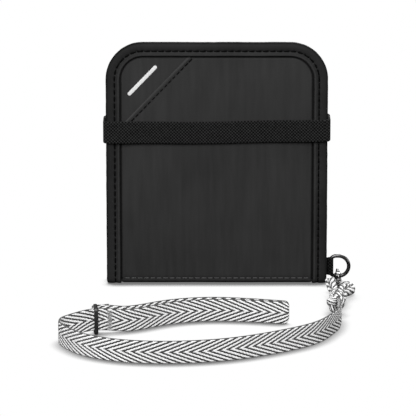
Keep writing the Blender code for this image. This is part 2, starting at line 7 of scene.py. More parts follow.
import bmesh
import bpy
from mathutils import Matrix, Vector, noise
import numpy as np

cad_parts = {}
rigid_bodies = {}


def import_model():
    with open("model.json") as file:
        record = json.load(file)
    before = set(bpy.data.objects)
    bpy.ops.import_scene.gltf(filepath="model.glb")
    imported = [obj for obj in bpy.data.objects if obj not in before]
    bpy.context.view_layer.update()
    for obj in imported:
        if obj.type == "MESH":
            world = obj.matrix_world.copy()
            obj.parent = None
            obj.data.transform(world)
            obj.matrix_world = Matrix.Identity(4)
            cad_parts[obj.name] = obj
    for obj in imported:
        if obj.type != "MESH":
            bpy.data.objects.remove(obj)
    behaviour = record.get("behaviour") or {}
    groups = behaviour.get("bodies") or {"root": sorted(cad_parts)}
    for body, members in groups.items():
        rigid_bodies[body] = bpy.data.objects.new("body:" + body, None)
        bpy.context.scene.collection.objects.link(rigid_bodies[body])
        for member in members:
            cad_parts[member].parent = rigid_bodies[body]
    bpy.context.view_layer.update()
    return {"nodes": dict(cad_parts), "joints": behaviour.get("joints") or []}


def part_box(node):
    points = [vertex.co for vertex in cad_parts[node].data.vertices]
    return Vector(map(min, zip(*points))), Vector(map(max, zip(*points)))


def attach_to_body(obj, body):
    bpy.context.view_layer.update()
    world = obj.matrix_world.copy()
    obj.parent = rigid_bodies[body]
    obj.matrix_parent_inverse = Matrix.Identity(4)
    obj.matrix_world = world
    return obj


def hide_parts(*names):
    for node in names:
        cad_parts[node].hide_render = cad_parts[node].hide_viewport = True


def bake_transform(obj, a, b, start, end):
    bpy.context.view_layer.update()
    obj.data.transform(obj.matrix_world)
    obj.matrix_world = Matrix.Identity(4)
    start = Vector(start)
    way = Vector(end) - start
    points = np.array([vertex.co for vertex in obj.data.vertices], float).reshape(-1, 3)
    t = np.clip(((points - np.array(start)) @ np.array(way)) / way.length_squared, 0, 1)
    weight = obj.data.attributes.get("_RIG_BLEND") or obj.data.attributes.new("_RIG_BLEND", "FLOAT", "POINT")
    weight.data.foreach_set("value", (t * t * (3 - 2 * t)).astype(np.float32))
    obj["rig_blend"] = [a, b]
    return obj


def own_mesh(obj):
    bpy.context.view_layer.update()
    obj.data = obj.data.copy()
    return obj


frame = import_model()

MM = 0.001
FRONT = -1
BACK = 1
HALVES = {FRONT: "front", BACK: "back"}

# Sizes read from the frame
BINDING_LOW, BINDING_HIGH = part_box("front_binding")
HALF_WIDTH = BINDING_HIGH.x
HALF_DEPTH = -BINDING_LOW.y
BINDING_DEPTH = BINDING_HIGH.y - BINDING_LOW.y
HEIGHTS = {FRONT: BINDING_HIGH.z, BACK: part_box("back_binding")[1].z}
SPINE_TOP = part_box("spine_lining")[1].z
BAND_LOW, BAND_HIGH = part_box("elastic_band")
RING_LOW, RING_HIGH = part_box("d_ring")
EYE_LOW, EYE_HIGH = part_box("clasp_swivel_eye")
JOINTS = {joint["name"]: joint for joint in frame["joints"]}

# Wallet edges
TOP_RADIUS = 14.7 * MM
BINDING_WIDTH = 5.6 * MM
TAPE_THICKNESS = 0.4 * MM
TAPE_PROUD = 0.35 * MM
STITCH_INSET = 3.55 * MM
STITCH_PITCH = 2.8 * MM
STITCH_LENGTH = 2.05 * MM
STITCH_DEPTH = 0.26 * MM
STITCH_GROOVE = 0.72
THREAD_RADIUS = 0.3 * MM
FOLD_RADIUS = 2.2 * MM
FOLD_DROP = 0.33 * MM
CREASE_HIGH = (4.6 * MM, 1.7 * MM)
CREASE_LOW = (3.1 * MM, 0)
BOTTOM_CORNER = 1.6 * MM
BOTTOM_STITCH_Z = 2.35 * MM
BOTTOM_STITCH_PITCH = 2.6 * MM

# Panels
CLOTH = 0.3 * MM
PANEL_DEPTH = 0.5 * MM
PANEL_CROWN = 0.35 * MM
PANEL_INSET = 3 * MM
SHEET_DROP = 2.5 * MM
PANEL_CELL = 0.75 * MM
EDGE_CELL = 0.45 * MM
FINE_CELL = 0.3 * MM
FINE_REACH = 4.2 * MM
# The sheets' dip beside the edge tape, and the painted shade put in that dip.
GAP_DEPTH = 0.6 * MM
GAP_WIDTH = 0.7 * MM
GAP_SHADE = 0.8
DEEPEST_DIP = 1.12 * MM
LINING_DEPTH = 1.9 * MM
LINING_INSET = 2.5 * MM
POCKET_CELL = 1.2 * MM
POCKET_SEAM = 3 * MM

# Folded edge of the corner patch, across the upper left of the front panel
PATCH_EDGE_LEFT = Vector((-36.4, 0, 67.8)) * MM
PATCH_EDGE_TOP = Vector((-10.6, 0, 94.8)) * MM
PATCH_ALONG = (PATCH_EDGE_TOP - PATCH_EDGE_LEFT).normalized()
PATCH_OVER = Vector((-PATCH_ALONG.z, 0, PATCH_ALONG.x))
PATCH_HEM = 0.36 * MM
PATCH_STITCH = 1.4 * MM
MARK_PLACE = (16.5 * MM, 6.9 * MM)
MARK_LENGTH = 16.5 * MM
MARK_HEIGHT = 1.5 * MM

# Strap, seen from above
STRAP_PATH = (
    (48.2, -54.4),
    (48.4, -64),
    (46, -77),
    (36, -96),
    (12.4, -113),
    (-10, -120),
    (-33, -119.5),
    (-50, -111),
    (-59.5, -97),
    (-60.2, -87.5),
    (-54, -82.2),
    (-43, -78.8),
    (-31.5, -74.4),
    (-18, -65.5),
    (-4, -61.4),
    (10, -62),
    (27.4, -65.4),
)
STRAP_WIDTH = 9 * MM
STRAP_THICKNESS = 0.95 * MM
STRAP_BENDS = (14 * MM, 43 * MM, 77 * MM, 111 * MM, 149 * MM, 223 * MM)
STRAP_CUTS = (-3 * MM, 28 * MM, 60 * MM, 94 * MM, 130 * MM, 190 * MM)
STRAP_END = 260.8 * MM
BEND_REACH = 6 * MM
RETURN_OFFSET = 2.1 * MM
RETURN_NEAR_END = 1.5 * MM
RETURN_RISE = 0.9 * MM
RETURN_START = 187.3 * MM
END_CORNER = 1.5 * MM
EYE_TAIL = 6.2 * MM
EYE_RISE = 0.6 * MM
SLIDER_AT = 182.1 * MM
SLIDER_LIFT = 1.5 * MM
LIFT_SPREAD = 15 * MM
BARTACK_AT = 187.4 * MM
PLEAT = 0.38 * MM
EYE_GATHER = 0.55
EYE_GATHER_LENGTH = 5 * MM
CHEVRON_PITCH = 3.65 * MM
CHEVRON_SLOPE = 2.55

# The gathered strands: name, places in mm from the swivel's bar, and from the knot, width, depth, twist
BAR_FACE = (0, 1.15, 0)
LEAD_STRANDS = (
    (
        "lead_near",
        (BAR_FACE, (-1.2, -0.6, 0.4), (-3.3, -3.2, 2.1), (-2.8, -8, 1.2), (-1.8, -14, 0.2), (-2.4, -20, 0.8)),
        ((-0.8, 8, 0), (-0.2, 2, 0)),
        3.5 * MM,
        1.2 * MM,
        1.6,
    ),
    (
        "lead_slack",
        (BAR_FACE, (1.4, -0.2, 0), (3.9, -4, 0.3), (4.6, -9, 0.1), (1.6, -15, 0.6), (0.6, -22, -0.2)),
        ((1.4, 8, 0), (0.6, 2, 0)),
        4.4 * MM,
        1.1 * MM,
        -1.9,
    ),
)

# Camera and light
VIEW_ELEVATION = math.radians(14)
VIEW_DISTANCE = 1.6
VIEW_AIM = Vector((-3.54, 2.5, 30)) * MM
LENS_MM = 340
SENSOR_MM = 36
FLOOR_Z = -0.05 * MM
FLOOR_BOUNCE = 0.06
# The floor's painted shadow: its reach, its tilt towards the back and its darkest glow.
CONTACT_REACH = 6.5 * MM
CONTACT_TILT = math.radians(45)
CONTACT_DARK = 0.2
SKY_LIGHT = 0.32
LIGHT_AIM = Vector((0, -0.03, 0.04))
LIGHTS = (
    ("key", (-0.1, -0.6, 0.5), 0.45, 7.3),
    ("overhead", (0.0, 0.12, 0.9), 0.7, 0.6),
    ("back", (0.25, 0.85, 0.45), 0.5, 8),
    ("right", (0.9, -0.1, 0.35), 0.4, 3),
    ("left", (-0.9, -0.05, 0.35), 0.4, 2.5),
)


def spaced(start, end, steps):
    """Evenly spaced numbers, both ends counted."""
    return [start + (end - start) * step / steps for step in range(steps + 1)]


def clamp(value):
    return min(max(value, 0), 1)


def ease(value):
    share = clamp(value)
    return share * share * (3 - 2 * share)


def bell(offset, width):
    return math.exp(-((offset / width) ** 2))


# Shader graphs


class Graph:
    """A material's shader nodes, with short ways to add and join them."""

    def __init__(self, name, roughness, metallic=0.0):
        self.material = bpy.data.materials.new(name)
        self.material.use_nodes = True
        self.tree = self.material.node_tree
        self.shader = self.tree.nodes["Principled BSDF"]
        self.surface("Roughness", roughness)
        self.surface("Metallic", metallic)
        self.surface("Specular IOR Level", 0.5 if metallic or roughness < 0.5 else 0.05)

    def node(self, kind, **settings):
        made = self.tree.nodes.new(kind)
        for key, value in settings.items():
            setattr(made, key, value)
        return made

    def feed(self, socket, value):
        if isinstance(value, bpy.types.NodeSocket):
            self.tree.links.new(value, socket)
        else:
            socket.default_value = value

    def surface(self, name, value):
        self.feed(self.shader.inputs[name], value)

    def math(self, operation, first, second=0.0, clamp=False):
        made = self.node("ShaderNodeMath", operation=operation, use_clamp=clamp)
        self.feed(made.inputs[0], first)
        self.feed(made.inputs[1], second)
        return made.outputs[0]

    def times(self, first, second):
        return self.math("MULTIPLY", first, second)

    def plus(self, first, second):
        return self.math("ADD", first, second)

    def sine(self, value, period):
        return self.math("SINE", self.times(value, 2 * math.pi / period))

    def strip_place(self):
        """(distance along, distance across) on a strip, in metres."""
        split = self.node("ShaderNodeSeparateXYZ")
        self.feed(split.inputs[0], self.node("ShaderNodeUVMap", uv_map="strip").outputs[0])
        return split.outputs[0], split.outputs[1]

    def weave(self, pitch):
        """The height of a plain weave on a strip or sheet, from -1 to 1."""
        along, across = self.strip_place()
        return self.times(self.sine(along, pitch), self.sine(across, pitch))

    def noise(self, scale, detail=2.0, stretch=(1, 1, 1)):
        mapping = self.node("ShaderNodeMapping")
        mapping.inputs["Scale"].default_value = stretch
        self.feed(mapping.inputs[0], self.node("ShaderNodeTexCoord").outputs["Object"])
        made = self.node("ShaderNodeTexNoise")
        self.feed(made.inputs["Vector"], mapping.outputs[0])
        made.inputs["Scale"].default_value = scale
        made.inputs["Detail"].default_value = detail
        return made.outputs["Fac"]

    def remap(self, value, old, new):
        """Maps one range to another, and holds the ends."""
        made = self.node("ShaderNodeMapRange")
        self.feed(made.inputs["Value"], value)
        made.inputs["From Min"].default_value, made.inputs["From Max"].default_value = old
        made.inputs["To Min"].default_value, made.inputs["To Max"].default_value = new
        return made.outputs[0]

    def spread(self, value, low, high):
        """Stretches a noise's usual range to a new one."""
        return self.remap(value, (0.25, 0.75), (low, high))

    def openness(self, reach, samples):
        """How open a point is to its surroundings within a reach: (the node, its share from 0 to 1)."""
        made = self.node("ShaderNodeAmbientOcclusion", samples=samples)
        made.inputs["Distance"].default_value = reach
        return made, made.outputs["AO"]

    def blend(self, factor, low, high):
        made = self.node("ShaderNodeMix", data_type="RGBA")
        self.feed(made.inputs["Factor"], factor)
        self.feed(made.inputs[6], low)
        self.feed(made.inputs[7], high)
        return made.outputs[2]

    def paint(self, factor, dark, pale, sheen=0.0):
        """Colours the surface between two greys."""
        self.surface("Base Color", self.blend(factor, grey(dark), grey(pale)))
        self.surface("Sheen Weight", sheen)

    def hill(self, value, middle, width, height):
        """A smooth rise of a height round a middle value."""
        offset = self.times(self.math("SUBTRACT", value, middle), 1 / width)
        square = self.times(offset, offset)
        return self.times(self.math("POWER", math.e, self.times(square, -1.0)), height)

    def bump(self, height, distance, strength=1.0):
        made = self.node("ShaderNodeBump")
        made.inputs["Strength"].default_value = strength
        made.inputs["Distance"].default_value = distance
        self.feed(made.inputs["Height"], height)
        self.surface("Normal", made.outputs[0])


def grey(level):
    return (level, level, level, 1)


def shell_fabric(name, level, pitch=0.5 * MM):
    """Matte coated nylon with a fine weave and faint upright streaks. Its shade attribute paints shade on it,
    and paints light on it where the shade is below zero.
    """
    graph = Graph(name, 0.62)
    threads = graph.weave(pitch)
    streaks = graph.noise(520, 3, stretch=(1, 1, 0.1))
    clouds = graph.noise(28, 2)
    tone = graph.plus(graph.spread(streaks, -0.14, 0.14), graph.spread(clouds, -0.16, 0.16))
    factor = graph.plus(graph.plus(tone, graph.times(threads, 0.1)), 0.5)
    shade = graph.node("ShaderNodeAttribute", attribute_name="shade").outputs["Fac"]
    cloth = graph.blend(factor, grey(level * 0.52), grey(level * 1.38))
    # Painted light where the shade attribute is below zero, then painted shade where it is above zero.
    cloth = graph.blend(graph.math("MULTIPLY", shade, -1.0, clamp=True), cloth, grey(level * 2.4))
    cloth = graph.blend(graph.math("MULTIPLY", shade, 1.0, clamp=True), cloth, grey(0.001))
    graph.surface("Base Color", cloth)
    graph.surface("Sheen Weight", 0.015)
    graph.surface("Roughness", graph.spread(clouds, 0.55, 0.7))
    graph.bump(graph.plus(threads, graph.times(streaks, 1.5)), 0.03 * MM, 0.6)
    return graph.material


def binding_tape():
    """Closely woven tape with fine cross ribs, with painted shade along its outer edge and painted highlights
    along its hem and round its stitch row.
    """
    graph = Graph("binding_tape", 0.6)
    along, across = graph.strip_place()
    height = graph.plus(graph.sine(along, 0.45 * MM), graph.times(graph.sine(across, 0.4 * MM), 0.4))
    factor = graph.plus(graph.spread(graph.noise(60, 3), 0.3, 0.6), graph.times(height, 0.06))
    inset = graph.math("ABSOLUTE", across)
    # Painted highlights on the hem's ridge and round the stitch row, and painted shade along the outer edge.
    for middle, width, rise in (
        (BINDING_WIDTH - 0.55 * MM, 0.3 * MM, 0.45),
        (STITCH_INSET, 0.9 * MM, 0.15),
        (0, 0.7 * MM, -0.4),
    ):
        factor = graph.plus(factor, graph.hill(inset, middle, width, rise))
    graph.paint(factor, 0.003, 0.029, 0.015)
    graph.bump(height, 0.02 * MM, 0.6)
    return graph.material


def woven_elastic(name, level):
    """Matte elastic with a diamond twill."""
    graph = Graph(name, 0.82)
    diamonds = graph.weave(1.3 * MM)
    factor = graph.plus(graph.times(diamonds, 0.7), graph.spread(graph.noise(1500, 2), 0.15, 0.65))
    graph.paint(factor, level * 0.05, level * 2.5, 0.015)
    graph.bump(diamonds, 0.2 * MM)
    return graph.material


def chevron_webbing(name="chevron_webbing", crease_shade_reach=0.0):
    """White and dark grey chevrons that point along the strap, with thread ribs and dark selvedges. Given a
    crease shade reach, it paints shade into its creases.
    """
    graph = Graph(name, 0.78)
    along, across = graph.strip_place()
    distance = graph.math("ABSOLUTE", across)
    slanted = graph.plus(along, graph.times(distance, CHEVRON_SLOPE))
    ragged = graph.times(graph.sine(across, 0.55 * MM), 0.16 * MM)
    stripe = graph.sine(graph.plus(slanted, ragged), CHEVRON_PITCH)
    white = graph.plus(graph.times(stripe, 2.6), 0.5)
    white = graph.math("MAXIMUM", graph.math("MINIMUM", white, 1.0), 0.0)
    white = graph.times(white, graph.math("LESS_THAN", distance, STRAP_WIDTH / 2 - 0.22 * MM))
    cross_thread = graph.sine(graph.math("SUBTRACT", along, graph.times(distance, 0.4)), 0.5 * MM)
    fuzz = graph.noise(900, 3)
    shade = graph.plus(graph.spread(fuzz, 0.0, 0.25), graph.times(cross_thread, 0.07))
    pale = graph.blend(shade, grey(0.92), grey(0.6))
    dark = graph.blend(shade, grey(0.055), grey(0.024))
    cloth = graph.blend(white, dark, pale)
    # Painted shade: darker where nearby folds close the webbing in.
    if crease_shade_reach:
        depth = graph.remap(graph.openness(crease_shade_reach, 8)[1], (0.35, 1.05), (0, 1))
        cloth = graph.blend(depth, grey(0.01), cloth)
    graph.surface("Base Color", cloth)
    graph.surface("Sheen Weight", 0.2)
    graph.bump(graph.plus(cross_thread, graph.times(white, 1.2)), 0.06 * MM)
    return graph.material


def lining_fabric():
    graph = Graph("lining_fabric", 0.7)
    threads = graph.weave(0.42 * MM)
    factor = graph.plus(graph.spread(graph.noise(45, 2), 0.35, 0.65), graph.times(threads, 0.16))
    graph.paint(factor, 0.04, 0.1, 0.2)
    graph.bump(threads, 0.03 * MM)
    return graph.material


def gunmetal(name="gunmetal", level=0.075):
    """Black plated metal with faint rubbed patches."""
    graph = Graph(name, 0.3, metallic=1)
    patches = graph.noise(300, 4)
    graph.paint(graph.spread(patches, 0, 1), level * 0.7, level * 1.5)
    graph.surface("Roughness", graph.spread(graph.noise(900, 2), 0.2, 0.34))
    graph.bump(patches, 0.01 * MM, 0.3)
    return graph.material


def mottled(name, roughness, grain, greys, depth, strength=1.0, metallic=0.0, sheen=0.0):
    """A graph that varies between two greys with a noise, which is its relief too."""
    graph = Graph(name, roughness, metallic)
    patches = graph.noise(*grain)
    graph.paint(patches, *greys, sheen)
    graph.bump(patches, depth, strength)
    return graph


def thread(name, level, sheen=0.2):
    greys = (level * 0.7, level * 1.3)
    return mottled(name, 0.7, (3500, 2), greys, 0.03 * MM, sheen=sheen).material


def moulded_plastic():
    graph = mottled("moulded_plastic", 0.4, (2500, 2), (0.008, 0.016), 0.01 * MM, 0.5)
    graph.surface("Roughness", graph.spread(graph.noise(700, 2), 0.32, 0.5))
    return graph.material


def clear_film():
    graph = Graph("clear_film", 0.12)
    haze = graph.noise(90, 2)
    graph.surface("Base Color", grey(0.9))
    graph.surface("Alpha", graph.spread(haze, 0.14, 0.22))
    graph.bump(haze, 0.2 * MM, 0.5)
    return graph.material


def pale_floor():
    """A white floor that throws little light back up. To the camera it glows white, with a painted shadow
    only close in front of the object.
    """
    graph = Graph("pale_floor", 0.7)
    seen = graph.node("ShaderNodeLightPath").outputs["Is Camera Ray"]
    # Painted shadow: the glow dims where the floor is closed in by the object, sampled towards the back so
    # that it falls in front.
    shelter, share = graph.openness(CONTACT_REACH, 16)
    tilt = graph.node("ShaderNodeCombineXYZ")
    tilt.inputs["Y"].default_value = math.sin(CONTACT_TILT)
    tilt.inputs["Z"].default_value = math.cos(CONTACT_TILT)
    graph.feed(shelter.inputs["Normal"], tilt.outputs[0])
    white = graph.remap(share, (0.36, 0.84), (CONTACT_DARK, 1))
    graph.surface("Base Color", graph.blend(seen, grey(FLOOR_BOUNCE), grey(0)))
    graph.surface("Specular IOR Level", 0)
    graph.surface("Emission Color", grey(1))
    graph.surface("Emission Strength", graph.times(seen, white))
    return graph.material


def make_materials():
    return {
        "shell": shell_fabric("shell_fabric", 0.025),
        "patch": shell_fabric("patch_fabric", 0.028),
        "tape": binding_tape(),
        "elastic": woven_elastic("band_elastic", 0.0105),
        "tab": woven_elastic("tab_tape", 0.006),
        "webbing": chevron_webbing(),
        "crease_shaded_webbing": chevron_webbing("crease_shaded_webbing", 2.5 * MM),
        "metal": gunmetal(),
        "dark_metal": gunmetal("dark_gunmetal", 0.03),
        "plastic": moulded_plastic(),
        "black_thread": thread("black_thread", 0.001, 0),
        "grey_thread": thread("grey_thread", 0.11),
        "seam_thread": thread("seam_thread", 0.085),
        "pale_thread": thread("pale_thread", 0.45),
        "mark": thread("pale_mark", 0.62),
        "lining": lining_fabric(),
        "board": mottled("stiffener_board", 0.85, (400, 4), (0.25, 0.4), 0.04 * MM).material,
        "foil": mottled("shielding_foil", 0.35, (120, 5), (0.45, 0.7), 0.1 * MM, metallic=0.9).material,
        "film": clear_film(),
        "floor": pale_floor(),
    }


# Meshes


def put_in_scene(name, data):
    made = bpy.data.objects.new(name, data)
    bpy.context.scene.collection.objects.link(made)
    return made


def attach(piece, slot, *nodes, body=None):
    """Hides the CAD nodes a piece stands for and, if it has just one body, parents the piece to it. Its slot
    is not used.
    """
    if body:
        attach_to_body(piece, body)
    if nodes:
        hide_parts(*nodes)


def rings_mesh(name, rings, distances, across, material, closed_path=False, closed_ring=True):
    """A skin over rings of points. The strip map holds the distance along and across, in metres."""
    count = len(rings[0])
    columns = count if closed_ring else count - 1
    faces = []
    corners = []
    for row in range(len(rings) if closed_path else len(rings) - 1):
        start = row * count
        end = (row + 1) % len(rings) * count
        near, far = distances[row], distances[min(row + 1, len(distances) - 1)]
        for column in range(columns):
            beside = (column + 1) % count
            faces.append((start + column, start + beside, end + beside, end + column))
            corners += [(near, across[column]), (near, across[beside])]
            corners += [(far, across[beside]), (far, across[column])]
    if closed_ring and not closed_path:
        for row in (0, len(rings) - 1):
            faces.append(tuple(range(row * count, row * count + count)))
            corners += [(distances[row], place) for place in across]
    mesh = bpy.data.meshes.new(name)
    mesh.from_pydata([tuple(point) for ring in rings for point in ring], [], faces)
    strip = mesh.uv_layers.new(name="strip")
    for loop, corner in zip(strip.data, corners):
        loop.uv = corner
    return finish_mesh(name, mesh, material)


def finish_mesh(name, mesh, material, sharp=50):
    shape = bmesh.new()
    shape.from_mesh(mesh)
    bmesh.ops.recalc_face_normals(shape, faces=shape.faces)
    shape.to_mesh(mesh)
    shape.free()
    mesh.shade_smooth()
    mesh.set_sharp_from_angle(angle=math.radians(sharp))
    mesh.materials.append(material)
    return put_in_scene(name, mesh)


def join(name, objects):
    """One object from several, keeping their meshes apart inside it."""
    shape = bmesh.new()
    slots = []
    for part in objects:
        start = len(shape.faces)
        shape.from_mesh(part.data)
        shape.faces.ensure_lookup_table()
        material = part.data.materials[0]
        if material not in slots:
            slots.append(material)
        for face in shape.faces[start:]:
            face.material_index = slots.index(material)
    mesh = bpy.data.meshes.new(name)
    shape.to_mesh(mesh)
    shape.free()
    for part in objects:
        bpy.data.objects.remove(part)
    for material in slots:
        mesh.materials.append(material)
    return put_in_scene(name, mesh)


def thicken(line, thickness):
    """A closed loop from an open line of (a, b) points, thickened to its left."""
    inner = []
    for index, (a, b) in enumerate(line):
        before = line[max(index - 1, 0)]
        after = line[min(index + 1, len(line) - 1)]
        run = Vector((after[0] - before[0], after[1] - before[1])).normalized()
        inner.append((a - run.y * thickness, b + run.x * thickness))
    return list(line) + inner[::-1]


def arc(centre, radius, start, end, steps):
    """Points round part of a circle, from one angle to another in degrees, as (a, b)."""
    found = []
    for step in range(steps + 1):
        angle = math.radians(start + (end - start) * step / steps)
        found.append((centre[0] + radius * math.cos(angle), centre[1] + radius * math.sin(angle)))
    return found


def rounded_corners(half_a, half_b, radius, steps, first=0):
    """Points round the corners of a rounded rectangle, as (a, b) from its middle."""
    found = []
    for turn in range(first, first + 4):
        sign_a = 1 if turn % 4 in (0, 3) else -1
        sign_b = 1 if turn % 4 in (0, 1) else -1
        centre = (sign_a * (half_a - radius), sign_b * (half_b - radius))
        found += arc(centre, radius, 90 * turn, 90 * turn + 90, steps)
    return found


def bar_section(width, thickness, across_count=8, round_count=4):
    """A bar with half-round edges, as (across, out) points."""
    radius = thickness / 2
    reach = width / 2 - radius
    points = []
    for sign in (1, -1):
        for step in range(across_count + 1):
            points.append((sign * reach * (1 - 2 * step / across_count), sign * radius))
        for step in range(1, round_count):
            angle = math.pi * step / round_count
            points.append((-sign * (reach + radius * math.sin(angle)), sign * radius * math.cos(angle)))
    return points


def round_section(radius, count=16):
    return arc((0, 0), radius, 0, 360, count)[:-1]


def line_between(start, end, steps):
    return [start.lerp(end, step / steps) for step in range(steps + 1)]


def curve_through(points, steps):
    """A smooth curve through points, with a number of steps between each two."""
    last = len(points) - 1
    found = [points[0].copy()]
    for index in range(last):
        before, start = points[max(index - 1, 0)], points[index]
        end, after = points[index + 1], points[min(index + 2, last)]
        for step in range(1, steps + 1):
            t = step / steps
            pull = (end - before) * t + (2 * before - 5 * start + 4 * end - after) * t**2
            pull += (3 * (start - end) + after - before) * t**3
            found.append(start + pull / 2)
    return found


def lengths_along(points):
    found = [0.0]
    for start, end in zip(points, points[1:]):
        found.append(found[-1] + (end - start).length)
    return found


def tangents_of(points, closed=False):
    found = []
    last = len(points) - 1
    for index in range(len(points)):
        before = points[index - 1] if closed or index else points[0]
        after = points[(index + 1) % len(points)] if closed or index < last else points[last]
        found.append((after - before).normalized())
    return found


def sweep(name, points, section, material, out, closed=False, sizes=None):
    """A section of (across, out) points carried along a line. Out is one direction or one for each point."""
    rings = []
    for index, (point, tangent) in enumerate(zip(points, tangents_of(points, closed))):
        facing = out if isinstance(out, Vector) else out[index]
        facing = (facing - tangent * facing.dot(tangent)).normalized()
        across = facing.cross(tangent)
        size = sizes[index] if sizes else 1
        rings.append([point + (across * a + facing * b) * size for a, b in section])
    distances = lengths_along(points + points[:1] if closed else points)
    return rings_mesh(name, rings, distances, [a for a, _ in section], material, closed_path=closed)


def upright_ribbon(name, line, section, material):
    """A tape that stands on edge along a line."""
    outs = [tangent.cross(Vector((0, 0, 1))) for tangent in tangents_of(line)]
    return sweep(name, line, section, material, outs)


def rounded_block(name, low, high, radius, material, segments=4):
    shape = bmesh.new()
    bmesh.ops.create_cube(shape, size=1)
    bmesh.ops.scale(shape, vec=high - low, verts=shape.verts)
    bmesh.ops.translate(shape, vec=(low + high) / 2, verts=shape.verts)
    bmesh.ops.bevel(
        shape, geom=shape.edges[:], offset=radius, segments=segments, profile=0.5, affect="EDGES"
    )
    mesh = bpy.data.meshes.new(name)
    shape.to_mesh(mesh)
    shape.free()
    mesh.uv_layers.new(name="strip")
    return finish_mesh(name, mesh, material, 60)


def capsule_bar(name, start, end, radius, material):
    """A round bar with domed ends."""
    axis = (end - start).normalized()
    dome = arc((0, 0), 1, 0, 90, 5)
    points = [start - axis * radius * c for c, _ in dome] + [end + axis * radius * c for c, _ in dome[::-1]]
    sizes = [max(s, 0.05) for _, s in dome]
    side = Vector((1, 0, 0)) if abs(axis.x) < 0.9 else Vector((0, 0, 1))
    return sweep(name, points, round_section(radius), material, side, sizes=sizes + sizes[::-1])


def stitches(name, points, outs, pitch, length, radius, material, sink):
    """A row of threads that dip into the cloth at both ends of each stitch."""
    distances = lengths_along(points)
    count = max(1, int(distances[-1] / pitch))
    start = (distances[-1] - count * pitch) / 2
    made = []
    cursor = 0
    for number in range(count):
        line = []
        facings = []
        for share in (-0.5, -0.46, -0.36, -0.18, 0, 0.18, 0.36, 0.46, 0.5):
            target = start + (number + 0.5) * pitch + share * length
            while cursor > 0 and distances[cursor] > target:
                cursor -= 1
            while cursor < len(points) - 2 and distances[cursor + 1] < target:
                cursor += 1
            part = clamp((target - distances[cursor]) / (distances[cursor + 1] - distances[cursor]))
            facing = outs if isinstance(outs, Vector) else outs[cursor]
            drop = radius * (1 + sink) * (2 * share) ** 4
            line.append(points[cursor].lerp(points[cursor + 1], part) + facing * (radius * sink - drop))
            facings.append(facing)
        made.append(sweep(f"{name}_{number}", line, round_section(radius, 8), material, facings))
    return join(name, made)


# Wallet halves


def drawn_in(past, radius):
    """How far a rounded corner draws an edge in, at a distance past the corner's start."""
    past = min(max(past, 0), radius)
    return radius - math.sqrt(radius**2 - past**2)


def edge_in(z, height):
    """How far a half's side edge is drawn in at a height, by its top corner."""
    return drawn_in(z - (height - TOP_RADIUS), TOP_RADIUS)


def fold_line(side, depth, top):
    """The line of a sheet down a half and under the fold to the middle: (place, outward) pairs."""
    facing = Vector((0, side, 0))
    radius = FOLD_RADIUS - depth
    centre = Vector((0, side * (HALF_DEPTH - FOLD_RADIUS), FOLD_RADIUS))
    start = top - 2 * FINE_REACH
    coarse_count = max(2, round((start - FOLD_RADIUS) / PANEL_CELL))
    heights = spaced(top, start, round(2 * FINE_REACH / FINE_CELL))[:-1]
    heights += spaced(start, FOLD_RADIUS, coarse_count)[:-1]
    places = [(Vector((0, side * (HALF_DEPTH - depth), z)), facing) for z in heights]
    for c, s in arc((0, 0), 1, 0, 90, 8):
        out = Vector((0, side * c, -s))
        places.append((centre + out * radius, out))
    for y in spaced(centre.y, 0, 4)[1:]:
        places.append((Vector((0, y, centre.z - radius)), Vector((0, 0, -1))))
    return places


def edge_stations(side):
    """Stations round a half's edge, from under the fold up, over the top and down: (edge, in, out)."""
    height = HEIGHTS[side]
    y = side * HALF_DEPTH
    facing = Vector((0, side, 0))
    corner_z = height - TOP_RADIUS
    reach = HALF_WIDTH - TOP_RADIUS
    low = [(place, out) for place, out in fold_line(side, 0, corner_z) if place.z <= FOLD_RADIUS][::-1]
    for z in spaced(FOLD_RADIUS, corner_z, round((corner_z - FOLD_RADIUS) / EDGE_CELL))[1:]:
        low.append((Vector((0, y, z)), facing))
    stations = []
    for place, out in low:
        rounding = drawn_in(BOTTOM_CORNER - place.z, BOTTOM_CORNER) * (1 - 0.8 * max(-out.z, 0))
        stations.append((Vector((rounding - HALF_WIDTH, place.y, place.z)), Vector((1, 0, 0)), out))
    for c, s in arc((0, 0), 1, 180, 90, round(TOP_RADIUS * math.pi / 2 / EDGE_CELL))[1:-1]:
        ray = Vector((c, 0, s))
        stations.append((Vector((-reach, y, corner_z)) + ray * TOP_RADIUS, -ray, facing))
    mirrored = []
    for edge, inward, out in stations[::-1]:
        mirrored.append((Vector((-edge.x, edge.y, edge.z)), Vector((-inward.x, 0, inward.z)), out))
    for x in spaced(-reach, reach, round(2 * reach / EDGE_CELL)):
        stations.append((Vector((x, y, height)), Vector((0, 0, -1)), facing))
    return stations + mirrored


def edge_depth(out):
    """How thick the bound edge is: the whole half above, thinning to the single sheet of the fold."""
    if out.z > -0.01:
        return BINDING_DEPTH
    return BINDING_DEPTH + (SPINE_TOP - BINDING_DEPTH) * min(-out.z * 1.2, 1)


def binding_profile(depth, pull):
    """The tape from its inner hem on the outside, round the edge, to its hem on the inside."""
    width = BINDING_WIDTH / MM
    row = STITCH_INSET / MM
    groove = STITCH_GROOVE * pull
    outside = (
        (width - 0.12, 1.15),
        (width, 0.35),
        (width - 0.15, 0.02),
        (width - 0.55, -0.1),
        (width - 1, -0.02),
        (row + 0.42, 0.06 + groove * 0.3),
        (row + 0.2, 0.06 + groove * 0.85),
        (row, 0.06 + groove),
        (row - 0.2, 0.06 + groove * 0.85),
        (row - 0.45, 0.06 + groove * 0.3),
        (row - 0.9, 0.02),
        (1.9, -0.04),
        (1.2, 0.03),
        (0.65, 0.22),
        (0.25, 0.58),
        (0.04, 1.1),
    )
    room = min(depth / BINDING_DEPTH, 1)
    line = [(a * MM, b * room * MM) for a, b in outside]
    line.append((0, depth / 2))
    line += [(a, depth - b) for a, b in line[-2::-1]]
    return [(a, -b) for a, b in line]


